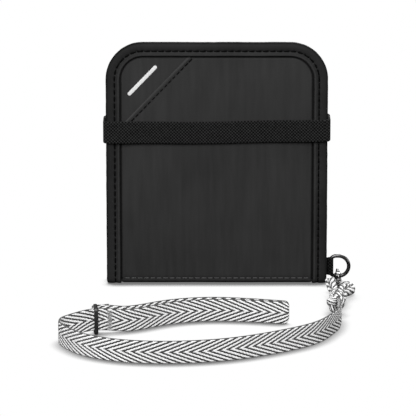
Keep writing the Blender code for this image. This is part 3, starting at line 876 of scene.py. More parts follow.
def binding(side, name, material):
    """The folded tape round a half, a little uneven, and drawn in at every stitch."""
    stations = edge_stations(side)
    distances = lengths_along([edge for edge, _, _ in stations])
    rings = []
    for distance, (edge, inward, out) in zip(distances, stations):
        wander = (0.09 * noise.noise(edge * 90) + 0.05 * noise.noise(edge * 400)) * MM
        pull = 0.7 + 0.3 * math.cos(2 * math.pi * distance / STITCH_PITCH)
        profile = thicken(binding_profile(edge_depth(out), pull), TAPE_THICKNESS)
        rings.append([edge + inward * (a + wander - TAPE_PROUD) + out * (b + 0.1 * MM) for a, b in profile])
    across = [a if -b < BINDING_DEPTH / 2 else -a for a, b in profile]
    return rings_mesh(name, rings, distances, across, material)


def binding_stitches(side, name, material):
    stations = edge_stations(side)
    row = STITCH_INSET - TAPE_PROUD
    points = [edge + inward * row - out * STITCH_DEPTH for edge, inward, out in stations]
    outs = [out for _, _, out in stations]
    return stitches(name, points, outs, STITCH_PITCH, STITCH_LENGTH, THREAD_RADIUS, material, 0.3)


def sheet_grid(name, side, depth, inset, material, crown, wrinkle):
    """A sheet of a half, down its face and under the fold. An outer one swells and dips beside the tape, with
    painted shade in that dip, round the fold's seam and under the fold.
    """
    height = HEIGHTS[side]
    top = height - SHEET_DROP
    line = fold_line(side, depth, top)
    shares = graded_shares()
    shades = []
    rings = []
    for place, out in line:
        reach = HALF_WIDTH - inset - edge_in(place.z + inset * 0.5, height)
        ring = []
        for share in shares:
            x = reach * share
            rise = swell(x, place, reach, top, crown, wrinkle)
            if crown:
                clear = clamp((HALF_WIDTH - BINDING_WIDTH - abs(x)) / (1 * MM))
                rise += FOLD_DROP * max(-out.z, 0) * clear
                gap = gap_beside_tape(x, place.z, height) * (1 - clamp(-out.z * 1.4))
                rise = max(rise - GAP_DEPTH * gap, depth - DEEPEST_DIP)
                # Painted shade in the dip beside the tape, round the fold's seam and under the fold.
                shades.append(min(GAP_SHADE * min(1.6 * gap, 1) + seam_shade(place.z), 1))
            ring.append(place + Vector((x, 0, 0)) + out * rise)
        rings.append(ring)
    distances = lengths_along([place for place, _ in line])
    across = [HALF_WIDTH * share for share in shares]
    made = rings_mesh(name, rings, distances, across, material, closed_ring=False)
    if crown:
        shade_points(made, shades)
    return made


def shade_points(made, shades):
    """Stores each point's painted shade, or painted light where it is below zero, for the cloth's material.
    """
    attribute = made.data.attributes.new("shade", "FLOAT", "POINT")
    attribute.data.foreach_set("value", shades)


def seam_shade(z):
    """Painted shade on the cloth round the fold's stitches and under the fold."""
    under = 1 - clamp(z / (1.9 * MM))
    return 0.45 * bell(z - BOTTOM_STITCH_Z + 0.2 * MM, 0.5 * MM) + 0.5 * under


def graded_shares():
    """Places across a sheet from -1 to 1, close together near both side edges."""
    inner = HALF_WIDTH - FINE_REACH
    left = spaced(-HALF_WIDTH, -inner, round(FINE_REACH / FINE_CELL))[:-1]
    middle = spaced(-inner, inner, round(2 * inner / PANEL_CELL))
    return [x / HALF_WIDTH for x in left + middle + [-x for x in left[::-1]]]


def gap_beside_tape(x, z, height):
    """How fully a sheet dips to pass under the edge tape, from 0 to 1."""
    corner = TOP_RADIUS - BINDING_WIDTH
    beside = HALF_WIDTH - BINDING_WIDTH - abs(x)
    below = height - BINDING_WIDTH - z
    inside = min(beside, below)
    if beside < corner and below < corner:
        inside = corner - math.hypot(corner - beside, corner - below)
    return 1 - ease(inside / GAP_WIDTH)


def swell(x, place, reach, top, crown, wrinkle):
    """The height of a sheet over its flat line: a low crown, wrinkles and a dip at the fold's seam."""
    sideways = 1 - abs(x / reach) ** 3
    upright = clamp((place.z - FOLD_RADIUS) / (12 * MM)) * clamp((top - place.z) / (12 * MM))
    ripple = noise.noise(Vector((x * 55, place.z * 32, place.y * 40)))
    fine = noise.noise(Vector((x * 260, place.z * 60, 3.1)))
    seam = 0.28 * MM * bell(place.z - BOTTOM_STITCH_Z, 0.55 * MM) if crown else 0
    return crown * sideways * upright + wrinkle * (ripple + 0.3 * fine) * sideways - seam


def add_thickness(made, thickness):
    solidify = made.modifiers.new("cloth_thickness", "SOLIDIFY")
    solidify.thickness = thickness
    solidify.offset = -1
    solidify.use_even_offset = False


def bend_at_fold(made, side):
    """Bends cloth round the crease between a half and the spine."""
    high = (0, side * CREASE_HIGH[0], CREASE_HIGH[1])
    low = (0, side * CREASE_LOW[0], CREASE_LOW[1])
    if side == FRONT:
        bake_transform(made, "front_half", "spine", start=high, end=low)
    else:
        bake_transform(made, "spine", "back_half", start=low, end=high)


def fold_patch_edge(made):
    """Cuts the front panel along the patch's edge, raises a hem there and rolls the edge under. The hem gets
    a painted highlight on its edge and painted shade on its inner slope.
    """
    shape = bmesh.new()
    shape.from_mesh(made.data)
    shade = shape.verts.layers.float["shade"]
    for vertex in shape.verts:
        if vertex.co.z > FOLD_RADIUS:
            away = (PATCH_EDGE_LEFT - vertex.co).dot(PATCH_OVER)
            vertex.co.y += 0.3 * MM * (bell(away - PATCH_STITCH, 0.5 * MM) - bell(away, 1.1 * MM))
            # A painted highlight on the hem's edge and painted shade on its slope down to the stitch groove.
            vertex[shade] += 0.2 * bell(away - 0.85 * MM, 0.3 * MM) - 0.5 * bell(away - 0.2 * MM, 0.35 * MM)
    cut = bmesh.ops.bisect_plane(
        shape,
        geom=shape.verts[:] + shape.edges[:] + shape.faces[:],
        plane_co=PATCH_EDGE_LEFT,
        plane_no=PATCH_OVER,
        clear_outer=True,
    )
    edges = [part for part in cut["geom_cut"] if isinstance(part, bmesh.types.BMEdge)]
    roll = [PATCH_OVER * s + Vector((0, 1 - c, 0)) for c, s in arc((0, 0), 1, 0, 180, 6)]
    for before, after in zip(roll, roll[1:]):
        edges = extrude_edges(shape, edges, (after - before) * PATCH_HEM)
    extrude_edges(shape, edges, PATCH_OVER * -2 * MM)
    shape.to_mesh(made.data)
    shape.free()
    made.data.shade_smooth()


def extrude_edges(shape, edges, move):
    found = bmesh.ops.extrude_edge_only(shape, edges=edges)["geom"]
    corners = [part for part in found if isinstance(part, bmesh.types.BMVert)]
    bmesh.ops.translate(shape, vec=move, verts=corners)
    return [part for part in found if isinstance(part, bmesh.types.BMEdge)]


def build_shell(materials):
    """Each half's outer panel, edge tape and edge stitches. The front ones stand for the spine's too."""
    for side, half in HALVES.items():
        covers = [f"{half}_cover"]
        tapes = [f"{half}_binding"]
        cloth = materials["shell"]
        panel = sheet_grid(f"{half}_panel", side, PANEL_DEPTH, PANEL_INSET, cloth, PANEL_CROWN, 0.06 * MM)
        if side == FRONT:
            fold_patch_edge(panel)
            covers.append("spine_cover")
            tapes += ["spine_binding_left", "spine_binding_right"]
        bend_at_fold(panel, side)
        add_thickness(panel, CLOTH)
        attach(panel, "outer_fabric", *covers)
        edge = binding(side, f"{half}_edge_tape", materials["tape"])
        bend_at_fold(edge, side)
        attach(edge, "binding_tape", *tapes)
        row = binding_stitches(side, f"{half}_edge_stitches", materials["black_thread"])
        bend_at_fold(row, side)
        attach(row, "binding_tape")


def build_patch(materials):
    """The corner piece under the front panel's folded edge, its stitches and its plain pale mark."""
    height = HEIGHTS[FRONT]
    top = height - PANEL_INSET
    y = -HALF_DEPTH + PANEL_DEPTH
    rings = []
    shades = []
    heights = spaced(top, PATCH_EDGE_LEFT.z - 10 * MM, 90)
    for z in heights:
        left = edge_in(z + 1.5 * MM, height) + PANEL_INSET - HALF_WIDTH
        fold_x = PATCH_EDGE_LEFT.x + (z - PATCH_EDGE_LEFT.z) * PATCH_ALONG.x / PATCH_ALONG.z
        ring = []
        for x in spaced(left, max(fold_x + 3 * MM, left + 2 * MM), 100):
            ripple = 0.05 * MM * noise.noise(Vector((x * 90, z * 90, 0)))
            dip = gap_beside_tape(x, z, height)
            # Painted shade in the dip beside the edge tape.
            shades.append(GAP_SHADE * min(1.6 * dip, 1))
            ring.append(Vector((x, y + 0.3 * MM + ripple + dip * GAP_DEPTH * 0.4, z)))
        rings.append(ring)
    distances = [top - z for z in heights]
    across = spaced(0, 40 * MM, 100)
    patch = rings_mesh("corner_piece", rings, distances, across, materials["patch"], closed_ring=False)
    shade_points(patch, shades)
    add_thickness(patch, CLOTH)
    attach(patch, "outer_fabric", "corner_patch", body="front_half")
    points = []
    for distance in spaced(-4 * MM, 42 * MM, 59):
        place = PATCH_EDGE_LEFT - PATCH_OVER * PATCH_STITCH + PATCH_ALONG * distance
        inside = edge_in(place.z, height) + BINDING_WIDTH - HALF_WIDTH
        if place.x > inside and place.z < height - BINDING_WIDTH:
            points.append(Vector((place.x, y - 0.08 * MM, place.z)))
    black = materials["black_thread"]
    out = Vector((0, -1, 0))
    row = stitches("corner_stitches", points, out, 2.4 * MM, 1.6 * MM, 0.24 * MM, black, 0.3)
    attach(row, "outer_fabric", body="front_half")
    build_mark(y + 0.2 * MM, materials["mark"])


def build_mark(y, material):
    """A plain pale bar along the patch, with round ends."""
    centre = PATCH_EDGE_LEFT + PATCH_ALONG * MARK_PLACE[0] + PATCH_OVER * MARK_PLACE[1]
    centre.y = y
    shares = [-math.cos(math.pi * step / 60) / 2 for step in range(61)]
    points = [centre + PATCH_ALONG * MARK_LENGTH * share for share in shares]
    sizes = []
    for share in shares:
        near_end = (0.5 - abs(share)) * MARK_LENGTH / (MARK_HEIGHT / 2)
        sizes.append(math.sqrt(max(1 - max(1 - near_end, 0) ** 2, 0.01)))
    section = bar_section(MARK_HEIGHT, 0.22 * MM, 1, 6)
    mark = sweep("pale_mark", points, section, material, Vector((0, -1, 0)), sizes=sizes)
    attach(mark, "webbing", body="front_half")


def build_fold_stitches(material):
    """The pale row just above the fold, on the front and on the back."""
    reach = HALF_WIDTH - BINDING_WIDTH - 0.8 * MM
    for side, half in HALVES.items():
        start = Vector((-reach, side * (HALF_DEPTH - PANEL_DEPTH - 0.16 * MM), BOTTOM_STITCH_Z))
        points = line_between(start, start + Vector((2 * reach, 0, 0)), 80)
        name = f"{half}_fold_stitches"
        out = Vector((0, side, 0))
        row = stitches(name, points, out, BOTTOM_STITCH_PITCH, 1.75 * MM, 0.14 * MM, material, 0.5)
        bend_at_fold(row, side)
        attach(row, "outer_fabric")


def build_pocket(name, side, node, materials):
    """A pocket panel: a thin sheet with a rolled and sewn hem along its straight top."""
    low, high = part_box(node)
    y = (low.y + high.y) / 2
    thickness = (high.y - low.y) * 0.8
    profile = []
    for z in spaced(low.z, high.z - 0.3 * MM, max(8, round((high.z - low.z) / POCKET_CELL))):
        from_top = high.z - z
        hem = 0.16 * MM * bell(from_top, 1.6 * MM) - 0.1 * MM * bell(from_top - POCKET_SEAM, 0.5 * MM)
        profile.append((z, thickness / 2 + hem))
    columns = round((high.x - low.x) / POCKET_CELL)
    rings = []
    for x in spaced(low.x, high.x, columns):
        ring = []
        for z, half in profile:
            lift = 0.05 * MM * noise.noise(Vector((x * 40, z * 40, side)))
            ring.append(Vector((x, y - side * (half + lift), z)))
        ring += [Vector((x, y + side * thickness / 2, z)) for z, _ in profile[::-1]]
        rings.append(ring)
    heights = [z for z, _ in profile]
    distances = spaced(0, high.x - low.x, columns)
    panel = rings_mesh(name, rings, distances, heights + heights[::-1], materials["lining"])
    body = f"{HALVES[side]}_half"
    attach(panel, "lining", node, body=body)
    start = Vector((low.x, low.y if side == BACK else high.y, high.z - POCKET_SEAM))
    points = line_between(start, start + Vector((high.x - low.x, 0, 0)), 60)
    out = Vector((0, -side, 0))
    grey_thread = materials["grey_thread"]
    row = stitches(name + "_stitches", points, out, 3 * MM, 2.1 * MM, 0.15 * MM, grey_thread, 0)
    attach(row, "lining", body=body)


def paint_node(name, material):
    """Gives a CAD node that stays in view its material."""
    slots = frame["nodes"][name].data.materials
    slots.clear()
    slots.append(material)


def build_inside(materials):
    """Linings, stiffeners, shielding, pockets and the card window."""
    cloth = materials["lining"]
    for side, half in HALVES.items():
        lining = sheet_grid(f"{half}_inner_lining", side, LINING_DEPTH, LINING_INSET, cloth, 0, 0.02 * MM)
        for vertex in lining.data.vertices:
            above_fold = clamp((vertex.co.z - LINING_DEPTH) / (2.5 * MM))
            vertex.co.y -= side * 0.55 * MM
            vertex.co.z -= (LINING_DEPTH - SPINE_TOP + 0.3 * MM) * (1 - above_fold)
        bend_at_fold(lining, side)
        add_thickness(lining, 0.25 * MM)
        attach(lining, "lining", f"{half}_lining", *(["spine_lining"] if side == FRONT else []))
        paint_node(f"{half}_stiffener", materials["board"])
        paint_node(f"{half}_rfid_liner", materials["foil"])
    build_pocket("slip_pocket_panel", FRONT, "slip_pocket", materials)
    for number in (1, 2, 3):
        build_pocket(f"card_pocket_panel_{number}", BACK, f"card_pocket_{number}", materials)
    build_window(materials)


def build_window(materials):
    """The card window: a taped frame round a clear film."""
    low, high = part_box("id_window_frame")
    film_low, film_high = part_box("id_window_film")
    margin = 0.9 * MM
    middle = (low + high) / 2
    hole_middle = (film_low + film_high) / 2
    hole_middle.y = middle.y
    hole = rounded_corners(
        (film_high.x - film_low.x) / 2 - margin, (film_high.z - film_low.z) / 2 - margin, 2.5 * MM, 6
    )
    edge = rounded_corners((high.x - low.x) / 2, (high.z - low.z) / 2, 1 * MM, 6)
    profile = []
    for step in range(13):
        welt = 0.12 * MM * (step in (0, 1, 2, 11)) - 0.08 * MM * (step == 10)
        profile.append((step / 12, 0.17 * MM + welt))
    rings = []
    for (hole_x, hole_z), (edge_x, edge_z) in zip(hole, edge):
        inner = hole_middle + Vector((hole_x, 0, hole_z))
        outer = middle + Vector((edge_x, 0, edge_z))
        ring = [inner.lerp(outer, share) + Vector((0, half, 0)) for share, half in profile]
        ring += [inner.lerp(outer, share) - Vector((0, 0.15 * MM, 0)) for share, _ in profile[::-1]]
        rings.append(ring)
    distances = [index * 3 * MM for index in range(len(rings) + 1)]
    across = [share * 10 * MM for share, _ in profile]
    across += across[::-1]
    name = "card_window_frame"
    made = rings_mesh(name, rings, distances, across, materials["lining"], closed_path=True)
    attach(made, "lining", "id_window_frame", body="front_half")
    paint_node("id_window_film", materials["film"])


def build_band(materials):
    """The elastic loop, a little wavy, pressed flat on the front and rounded at the sides."""
    elastic = materials["elastic"]
    thickness = 1.05 * MM
    middle_z = (BAND_LOW.z + BAND_HIGH.z) / 2
    reach_y = -BAND_LOW.y - thickness / 2
    corners = rounded_corners(BAND_HIGH.x - thickness / 2, reach_y, 2.1 * MM, 8, first=3)
    outline = [Vector((x, y, 0)) for x, y in corners]
    points = []
    for start, end in zip(outline, outline[1:] + outline[:1]):
        steps = max(1, round((end - start).length / (1.2 * MM)))
        for place in line_between(start, end, steps)[:-1]:
            wave = 0.22 * MM * noise.noise(Vector((place.x * 45, place.y * 30, 0)))
            wave += 0.8 * MM * ease((place.x + 2 * MM) / (42 * MM)) - 0.2 * MM
            press = 0.3 * MM * (1 - min(abs(place.x) / (36 * MM), 1) ** 6) * (1 if place.y < 0 else -1)
            points.append(Vector((place.x, place.y + press, middle_z + wave)))
    section = bar_section(BAND_HIGH.z - BAND_LOW.z, thickness, 16, 6)
    outs = [out_of_band(point) for point in points]
    pieces = [sweep("closing_band", points, section, elastic, outs, closed=True)]
    low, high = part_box("band_join")
    block_low = Vector((low.x, reach_y - 0.2 * MM, low.z + 0.3 * MM))
    block_high = Vector((high.x, high.y - 0.2 * MM, high.z - 0.3 * MM))
    pieces.append(rounded_block("band_tack", block_low, block_high, 0.3 * MM, elastic))
    for number, x in enumerate((low.x + 1.6 * MM, high.x - 1.6 * MM)):
        start = Vector((x, high.y - 0.2 * MM, low.z + 1 * MM))
        line = line_between(start, start + Vector((0, 0, 7.35 * MM)), 21)
        out = Vector((0, 1, 0))
        black = materials["black_thread"]
        pieces.append(
            stitches(f"tack_row_{number}", line, out, 1.3 * MM, 1.1 * MM, 0.15 * MM, black, 0.2)
        )
    whole = join("closing_band_loop", pieces)
    whole.data.shade_smooth()
    whole.data.set_sharp_from_angle(angle=math.radians(50))
    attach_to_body(whole, "band")
    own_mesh(whole)
    attach(whole, "elastic", "elastic_band", "band_join")


def out_of_band(place):
    """The way out of the band at a place, square to its nearest side."""
    over_x = max(abs(place.x) - BAND_HIGH.x + 3 * MM, 0)
    over_y = max(abs(place.y) + BAND_LOW.y + 3 * MM, 0)
    out = Vector((math.copysign(over_x, place.x), math.copysign(over_y, place.y), 0))
    return out.normalized() if out.length else Vector((0, math.copysign(1, place.y), 0))


# Ring, tab and clasp


def build_ring(material):
    """A D-shaped wire: a straight bar with two small corners, and a half-round bow."""
    radius = (RING_HIGH.y - RING_LOW.y) / 2
    middle = (RING_LOW + RING_HIGH) / 2
    half = (RING_HIGH.z - RING_LOW.z) / 2 - radius
    bar_x = RING_LOW.x + radius
    corner = 2.6 * MM
    reach = half - corner
    outline = [(bar_x, z) for z in spaced(reach, -reach, 14)]
    outline += arc((bar_x + corner, -reach), corner, 180, 270, 8)[1:]
    outline += arc((RING_HIGH.x - radius - half, 0), half, -90, 90, 48)
    outline += arc((bar_x + corner, reach), corner, 90, 180, 8)[:-1]
    points = [Vector((x, middle.y, middle.z + z)) for x, z in outline]
    section = round_section(radius, 24)
    ring = sweep("d_ring_wire", points, section, material, Vector((0, -1, 0)), closed=True)
    attach(ring, "gunmetal", "d_ring", body="ring")


def build_tab(material):
    """A woven tape doubled round the ring's straight bar."""
    low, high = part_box("ring_tab")
    bar_x = RING_LOW.x + (RING_HIGH.y - RING_LOW.y) / 2
    bar_y = (RING_LOW.y + RING_HIGH.y) / 2
    ends = [low.x, low.x + 1.6 * MM, low.x + 3.2 * MM]
    outline = [(x, bar_y - 0.36 * MM) for x in ends]
    outline += arc((bar_x, bar_y), 1.2 * MM, -150, 150, 10)
    outline += [(x, bar_y + 0.36 * MM) for x in ends[::-1]]
    line = curve_through([Vector((x, y, (low.z + high.z) / 2)) for x, y in outline], 4)
    section = bar_section(high.z - low.z + 1 * MM, 0.55 * MM, 10, 4)
    tab = upright_ribbon("ring_tab_tape", line, section, material)
    attach(tab, "tab_tape", "ring_tab", body="front_half")


def build_clasp(materials):
    """A small swivel clasp: hooked body, sprung gate on a pin, and a turning eye."""
    metal = materials["metal"]
    dark = materials["dark_metal"]
    low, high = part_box("clasp_body")
    pin_low, pin_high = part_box("clasp_gate_pin")
    x = (low.x + high.x) / 2
    z = (EYE_LOW.z + EYE_HIGH.z) / 2
    hook_radius = 2.2 * MM
    inset = Vector((0, 0, 0.2 * MM))
    block_high = Vector((high.x, low.y + 4 * MM, high.z)) - inset
    block = rounded_block("clasp_block", low + inset, block_high, 0.9 * MM, metal, 5)
    start = Vector((x, low.y + 0.4 * MM, z))
    collar = capsule_bar("clasp_collar", start, start - Vector((0, 0.7 * MM, 0)), 1.45 * MM, metal)
    points = [Vector((x, y * MM, z - hook_radius)) for y in (-6.2, -5, -3.8, -2.6)]
    points += [Vector((x, a, b)) for a, b in arc((-1.5 * MM, z), hook_radius, -90, 104.4, 16)]
    sizes = [1.25, 1.1, 1.05, 1.0] + [1.0 - 0.28 * (step / 16) ** 3 for step in range(17)]
    section = round_section(0.62 * MM, 18)
    hook = sweep("clasp_hook_wire", points, section, metal, Vector((1, 0, 0)), sizes=sizes)
    attach(join("clasp_body_shell", [block, collar, hook]), "gunmetal", "clasp_body", body="clasp")
    pivot = (pin_low + pin_high) / 2
    pin_end = Vector(((pin_high.x - pin_low.x) / 2 - 0.15 * MM, 0, 0))
    pin = capsule_bar("gate_pin_rivet", pivot - pin_end, pivot + pin_end, 0.42 * MM, dark)
    attach(pin, "gunmetal", "clasp_gate_pin", body="clasp")
    tip = Vector((x, -3.4 * MM, z + 2.12 * MM))
    lever_start = Vector((x, pivot.y + 0.4 * MM, pivot.z + 0.15 * MM))
    lever = capsule_bar("gate_lever_bar", lever_start, tip, 0.5 * MM, dark)
    nub_middle = Vector((x, pivot.y + 1.3 * MM, pivot.z + 0.75 * MM))
    nub_end = Vector((0.5 * MM, 0, 0))
    nub = capsule_bar("gate_lever_nub", nub_middle - nub_end, nub_middle + nub_end, 0.38 * MM, dark)
    attach(join("clasp_gate_lever", [lever, nub]), "gunmetal", "clasp_gate", body="gate")
    build_swivel(x, z, metal)


def build_swivel(x, z, material):
    """The clasp's turning eye: a neck with a collar, and a rounded loop."""
    wire = 0.55 * MM
    back = -10.9 * MM
    front = EYE_LOW.y + wire
    pieces = []
    for name, start, end, radius in (
        ("swivel_neck", -8.6 * MM, back, wire),
        ("swivel_collar", -10.35 * MM, -10.6 * MM, 0.85 * MM),
    ):
        pieces.append(capsule_bar(name, Vector((x, start, z)), Vector((x, end, z)), radius, material))
    corners = rounded_corners((back - front) / 2, (EYE_HIGH.z - EYE_LOW.z) / 2 - wire, 1.2 * MM, 6)
    points = [Vector((x, (back + front) / 2 + a, z + b)) for a, b in corners]
    section = round_section(wire, 18)
    pieces.append(sweep("swivel_loop", points, section, material, Vector((1, 0, 0)), closed=True))
    attach(join("swivel_eye_loop", pieces), "gunmetal", "clasp_swivel_eye", body="swivel")


# Strap


STRAP_LINE = curve_through([Vector((x, y, 0)) * MM for x, y in STRAP_PATH], 24)
STRAP_LENGTHS = lengths_along(STRAP_LINE)


def strap_frame(distance):
    """The strap's centre line at a distance from the knot: (place, direction, left)."""
    last = len(STRAP_LINE) - 2
    index = 0
    while index < last and STRAP_LENGTHS[index + 1] < distance:
        index += 1
    after = min(index + 1, last)
    direction = (STRAP_LINE[index + 1] - STRAP_LINE[index]).normalized()
    ahead = (STRAP_LINE[after + 1] - STRAP_LINE[after]).normalized()
    travelled = distance - STRAP_LENGTHS[index]
    part = clamp(travelled / (STRAP_LENGTHS[index + 1] - STRAP_LENGTHS[index]))
    turned = direction.lerp(ahead, part).normalized()
    return STRAP_LINE[index] + direction * travelled, turned, Vector((-turned.y, turned.x, 0))


def strap_lift(distance):
    """How far the strap is held off the ground near the slider."""
    away = min(abs(distance - SLIDER_AT) / LIFT_SPREAD, 1)
    return SLIDER_LIFT * (1 + math.cos(math.pi * away)) / 2


def strap_lean(distance):
    """A slow sideways lean of the standing webbing, in metres at its upper edge."""
    return 0.5 * MM * noise.noise(Vector((distance * 22, 0.4, 0)))


def webbing_section(distance):
    """The webbing's section with its chevrons in relief."""
    points = []
    count = 36
    reach = STRAP_WIDTH / 2 - 0.25 * MM
    edge_out = STRAP_THICKNESS * 0.25
    for sign in (1, -1):
        for a in spaced(sign * reach, -sign * reach, count):
            phase = 2 * math.pi * (distance + CHEVRON_SLOPE * abs(a)) / CHEVRON_PITCH
            relief = 0.05 * MM * math.tanh(1.6 * math.sin(phase))
            edge = 0.1 * MM * max(abs(a) / reach - 0.93, 0) / 0.07
            points.append((a, sign * (STRAP_THICKNESS / 2 + relief - edge)))
        points.append((-sign * (reach + 0.2 * MM), sign * edge_out))
        points.append((-sign * (reach + 0.2 * MM), -sign * edge_out))
    return points


def end_width(short):
    """The share of the webbing's width that shows at a distance short of its rounded end fold."""
    return 1 - 2 * drawn_in(END_CORNER - short, END_CORNER) / STRAP_WIDTH


def strap_ring(distance, offset=0, width=1.0, along=None, rise=0.0):
    """A ring of the strap standing on edge, at a distance and an offset to the left."""
    place, _, left = strap_frame(distance)
    centre = place + left * offset + Vector((0, 0, strap_lift(distance) + rise + STRAP_WIDTH / 2))
    ring = []
    for a, b in webbing_section(distance if along is None else along):
        lean = strap_lean(distance) * (a / STRAP_WIDTH + 0.5)
        ring.append(centre + Vector((0, 0, a * width)) + left * (b + lean))
    return ring


def webbing_mesh(name, rings, distances, material):
    return rings_mesh(name, rings, distances, [a for a, _ in webbing_section(0)], material)


def strap_piece(name, start, end, material):
    """A length of webbing, gathered where it leaves the knot."""
    distances = spaced(start, end, round((end - start) / (0.5 * MM)))
    rings = []
    for distance in distances:
        rings.append(strap_ring(distance, width=0.55 + 0.45 * ease((distance + 3 * MM) / (10 * MM))))
    return webbing_mesh(name, rings, distances, material)


def doubled_piece(name, start, material):
    """The running webbing, its fold at the far end, and the return run behind it."""
    step_length = 0.4 * MM
    radius = RETURN_NEAR_END / 2
    distances = spaced(start, STRAP_END, round((STRAP_END - start) / step_length))
    rings = [strap_ring(distance, 0, end_width(STRAP_END + radius - distance)) for distance in distances]
    place, direction, left = strap_frame(STRAP_END)
    axis = place + left * radius + Vector((0, 0, STRAP_WIDTH / 2))
    for c, s in arc((0, 0), 1, 0, 180, 12)[1:-1]:
        travelled = STRAP_END + radius * math.acos(c)
        out = direction * s - left * c
        ring = []
        for a, b in webbing_section(travelled):
            lean = strap_lean(STRAP_END) * (a / STRAP_WIDTH + 0.5)
            narrowed = a * end_width(radius * (1 - s))
            ring.append(axis + out * (radius - b) + Vector((0, 0, narrowed)) + left * lean)
        rings.append(ring)
        distances.append(travelled)
    back_length = STRAP_END - RETURN_START
    for share in spaced(0, 1, round(back_length / step_length)):
        distance = STRAP_END - back_length * share
        offset = RETURN_NEAR_END + (RETURN_OFFSET - RETURN_NEAR_END) * share
        along = STRAP_END + radius * math.pi + back_length * share
        width = end_width(STRAP_END + radius - distance)
        ring = strap_ring(distance, offset, width, along, RETURN_RISE * share)
        rings.append([ring[index] for index in mirror_order(len(ring))])
        distances.append(along)
    return webbing_mesh(name, rings, distances, material)


def mirror_order(count):
    """The order that swaps a ring's two faces, because the webbing turns over at its end fold."""
    half = count // 2
    order = []
    for index in range(count):
        face, place = divmod(index, half)
        if place <= half - 3:
            order.append((1 - face) * half + (half - 3 - place))
        else:
            order.append(face * half + (2 * half - 3 - place))
    return order


def build_strap(material):
    for number, (start, end) in enumerate(zip(STRAP_CUTS, STRAP_CUTS[1:]), 1):
        piece = strap_piece(f"webbing_{number}", start, end, material)
        blend_strap(piece, number)
        attach(piece, "webbing", f"strap_section_{number}")
    piece = doubled_piece("webbing_doubled", STRAP_CUTS[-1], material)
    blend_strap(piece, 6)
    attach(piece, "webbing", "strap_section_6", "strap_end_fold", "strap_return")


def blend_strap(piece, number):
    """Bends a length of webbing over its bend joint."""
    joint = JOINTS[f"strap_bend_{number}"]
    at = STRAP_BENDS[number - 1]
    start = strap_frame(at - BEND_REACH)[0]
    end = strap_frame(at + BEND_REACH)[0]
    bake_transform(piece, joint["parent"], joint["child"], start=start, end=end)


def build_slider(materials):
    """A moulded three-bar slider on edge across the strap, and the strap's sewn eye on its middle bar."""
    plastic = materials["plastic"]
    low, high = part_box("strap_slider")
    place, direction, left = strap_frame(SLIDER_AT)
    left = (left + Vector((0, 1.6, 0))).normalized()
    up = Vector((0, 0, 1))
    height = high.z - low.z - 0.8 * MM
    near = -2.2 * MM
    far = 5.2 * MM
    bar = 1 * MM
    centre = place + left * (near + far) / 2 + up * height / 2
    corners = rounded_corners((far - near - bar) / 2, (height - bar) / 2, 1.1 * MM, 5)
    points = [centre + left * a + up * b for a, b in corners]
    outs = [point - centre for point in points]
    hoop = sweep("slider_hoop", points, bar_section(1.6 * MM, bar, 4, 6), plastic, outs, closed=True)
    middle = place + left * RETURN_OFFSET
    line = line_between(middle + up * 0.6 * MM, middle + up * (height - 0.6 * MM), 8)
    spine = sweep("slider_middle_bar", line, bar_section(1.75 * MM, 0.8 * MM, 4, 6), plastic, left)
    slider = join("three_bar_slider", [hoop, spine])
    attach(slider, "slider_plastic", "strap_slider", body="slider")
    build_sewn_eye(middle, direction, left, materials["webbing"])
    build_bartack(materials["pale_thread"])


def build_sewn_eye(middle, direction, left, material):
    """The strap's end wrapped round the slider's middle bar."""
    lift = Vector((0, 0, SLIDER_LIFT + STRAP_WIDTH / 2 + EYE_RISE))
    radius = 1.05 * MM
    tail = [strap_frame(SLIDER_AT + EYE_TAIL * (1 - step / 6)) for step in range(6)]
    points = [place + beside * (RETURN_OFFSET - radius) for place, _, beside in tail]
    for c, s in arc((0, 0), radius, -90, -270, 8):
        points.append(middle + direction * 1.2 * c + left * s)
    points += [place + beside * (RETURN_OFFSET + radius) for place, _, beside in tail[::-1]]
    line = curve_through([point + lift for point in points], 3)
    section = bar_section(STRAP_WIDTH - 0.3 * MM, 0.45 * MM, 24, 4)
    eye = upright_ribbon("webbing_eye", line, section, material)
    attach(eye, "webbing", "strap_sewn_eye", body="slider")


def build_bartack(material):
    """A pale zigzag sewn across the doubled webbing just past the slider."""
    place, direction, left = strap_frame(BARTACK_AT)
    base = strap_lift(BARTACK_AT) + 0.7 * MM
    front = place - left * (STRAP_THICKNESS / 2 + 0.06 * MM)
    points = []
    count = 44
    for number, share in enumerate(spaced(0, 1, count)):
        sideways = 0.85 * MM * (1 if number % 2 else -1)
        rise = Vector((0, 0, base + (STRAP_WIDTH - 1.4 * MM) * share))
        points.append(front + direction * sideways + left * strap_lean(BARTACK_AT) * share + rise)
    tack = sweep("bartack", points, round_section(0.2 * MM, 6), material, -left)
    attach(tack, "webbing", body="strap_6")


def bunched_section(width, depth):
    """Webbing gathered lengthways into a U, as (across, out) points, thickened."""
    line = []
    for t in spaced(-1, 1, 36):
        a = width / 2 * math.sin(t * math.pi * 0.62) / math.sin(math.pi * 0.62) * (1 - 0.25 * t * t)
        b = depth * (0.5 - t * t) + PLEAT * math.sin(3 * math.pi * t)
        line.append((a, b))
    return thicken(line, 0.55 * MM)


def bunched_strand(name, points, width, depth, twist, material):
    """A gathered strand with the chevrons' across distance measured round its fold."""
    line = curve_through(points, 8)
    section = bunched_section(width, depth)
    half = len(section) // 2
    distances = lengths_along(line)
    rings = []
    for point, tangent, distance in zip(line, tangents_of(line), distances):
        out = (Vector((0, 0, 1)) - tangent * tangent.z).normalized()
        across = out.cross(tangent)
        turned = twist * distance / distances[-1] + 0.5 * noise.noise(point * 90)
        turn = Matrix.Rotation(turned, 3, tangent)
        squeeze = 1 + 0.18 * noise.noise(point * 210 + Vector((5, 1, 2)))
        squeeze *= 1 - EYE_GATHER * max(1 - distance / EYE_GATHER_LENGTH, 0)
        rings.append([point + turn @ (across * a + out * b) * squeeze for a, b in section])
    across = spaced(-STRAP_WIDTH / 2, STRAP_WIDTH / 2, half - 1)
    return rings_mesh(name, rings, distances, across + across[::-1], material)


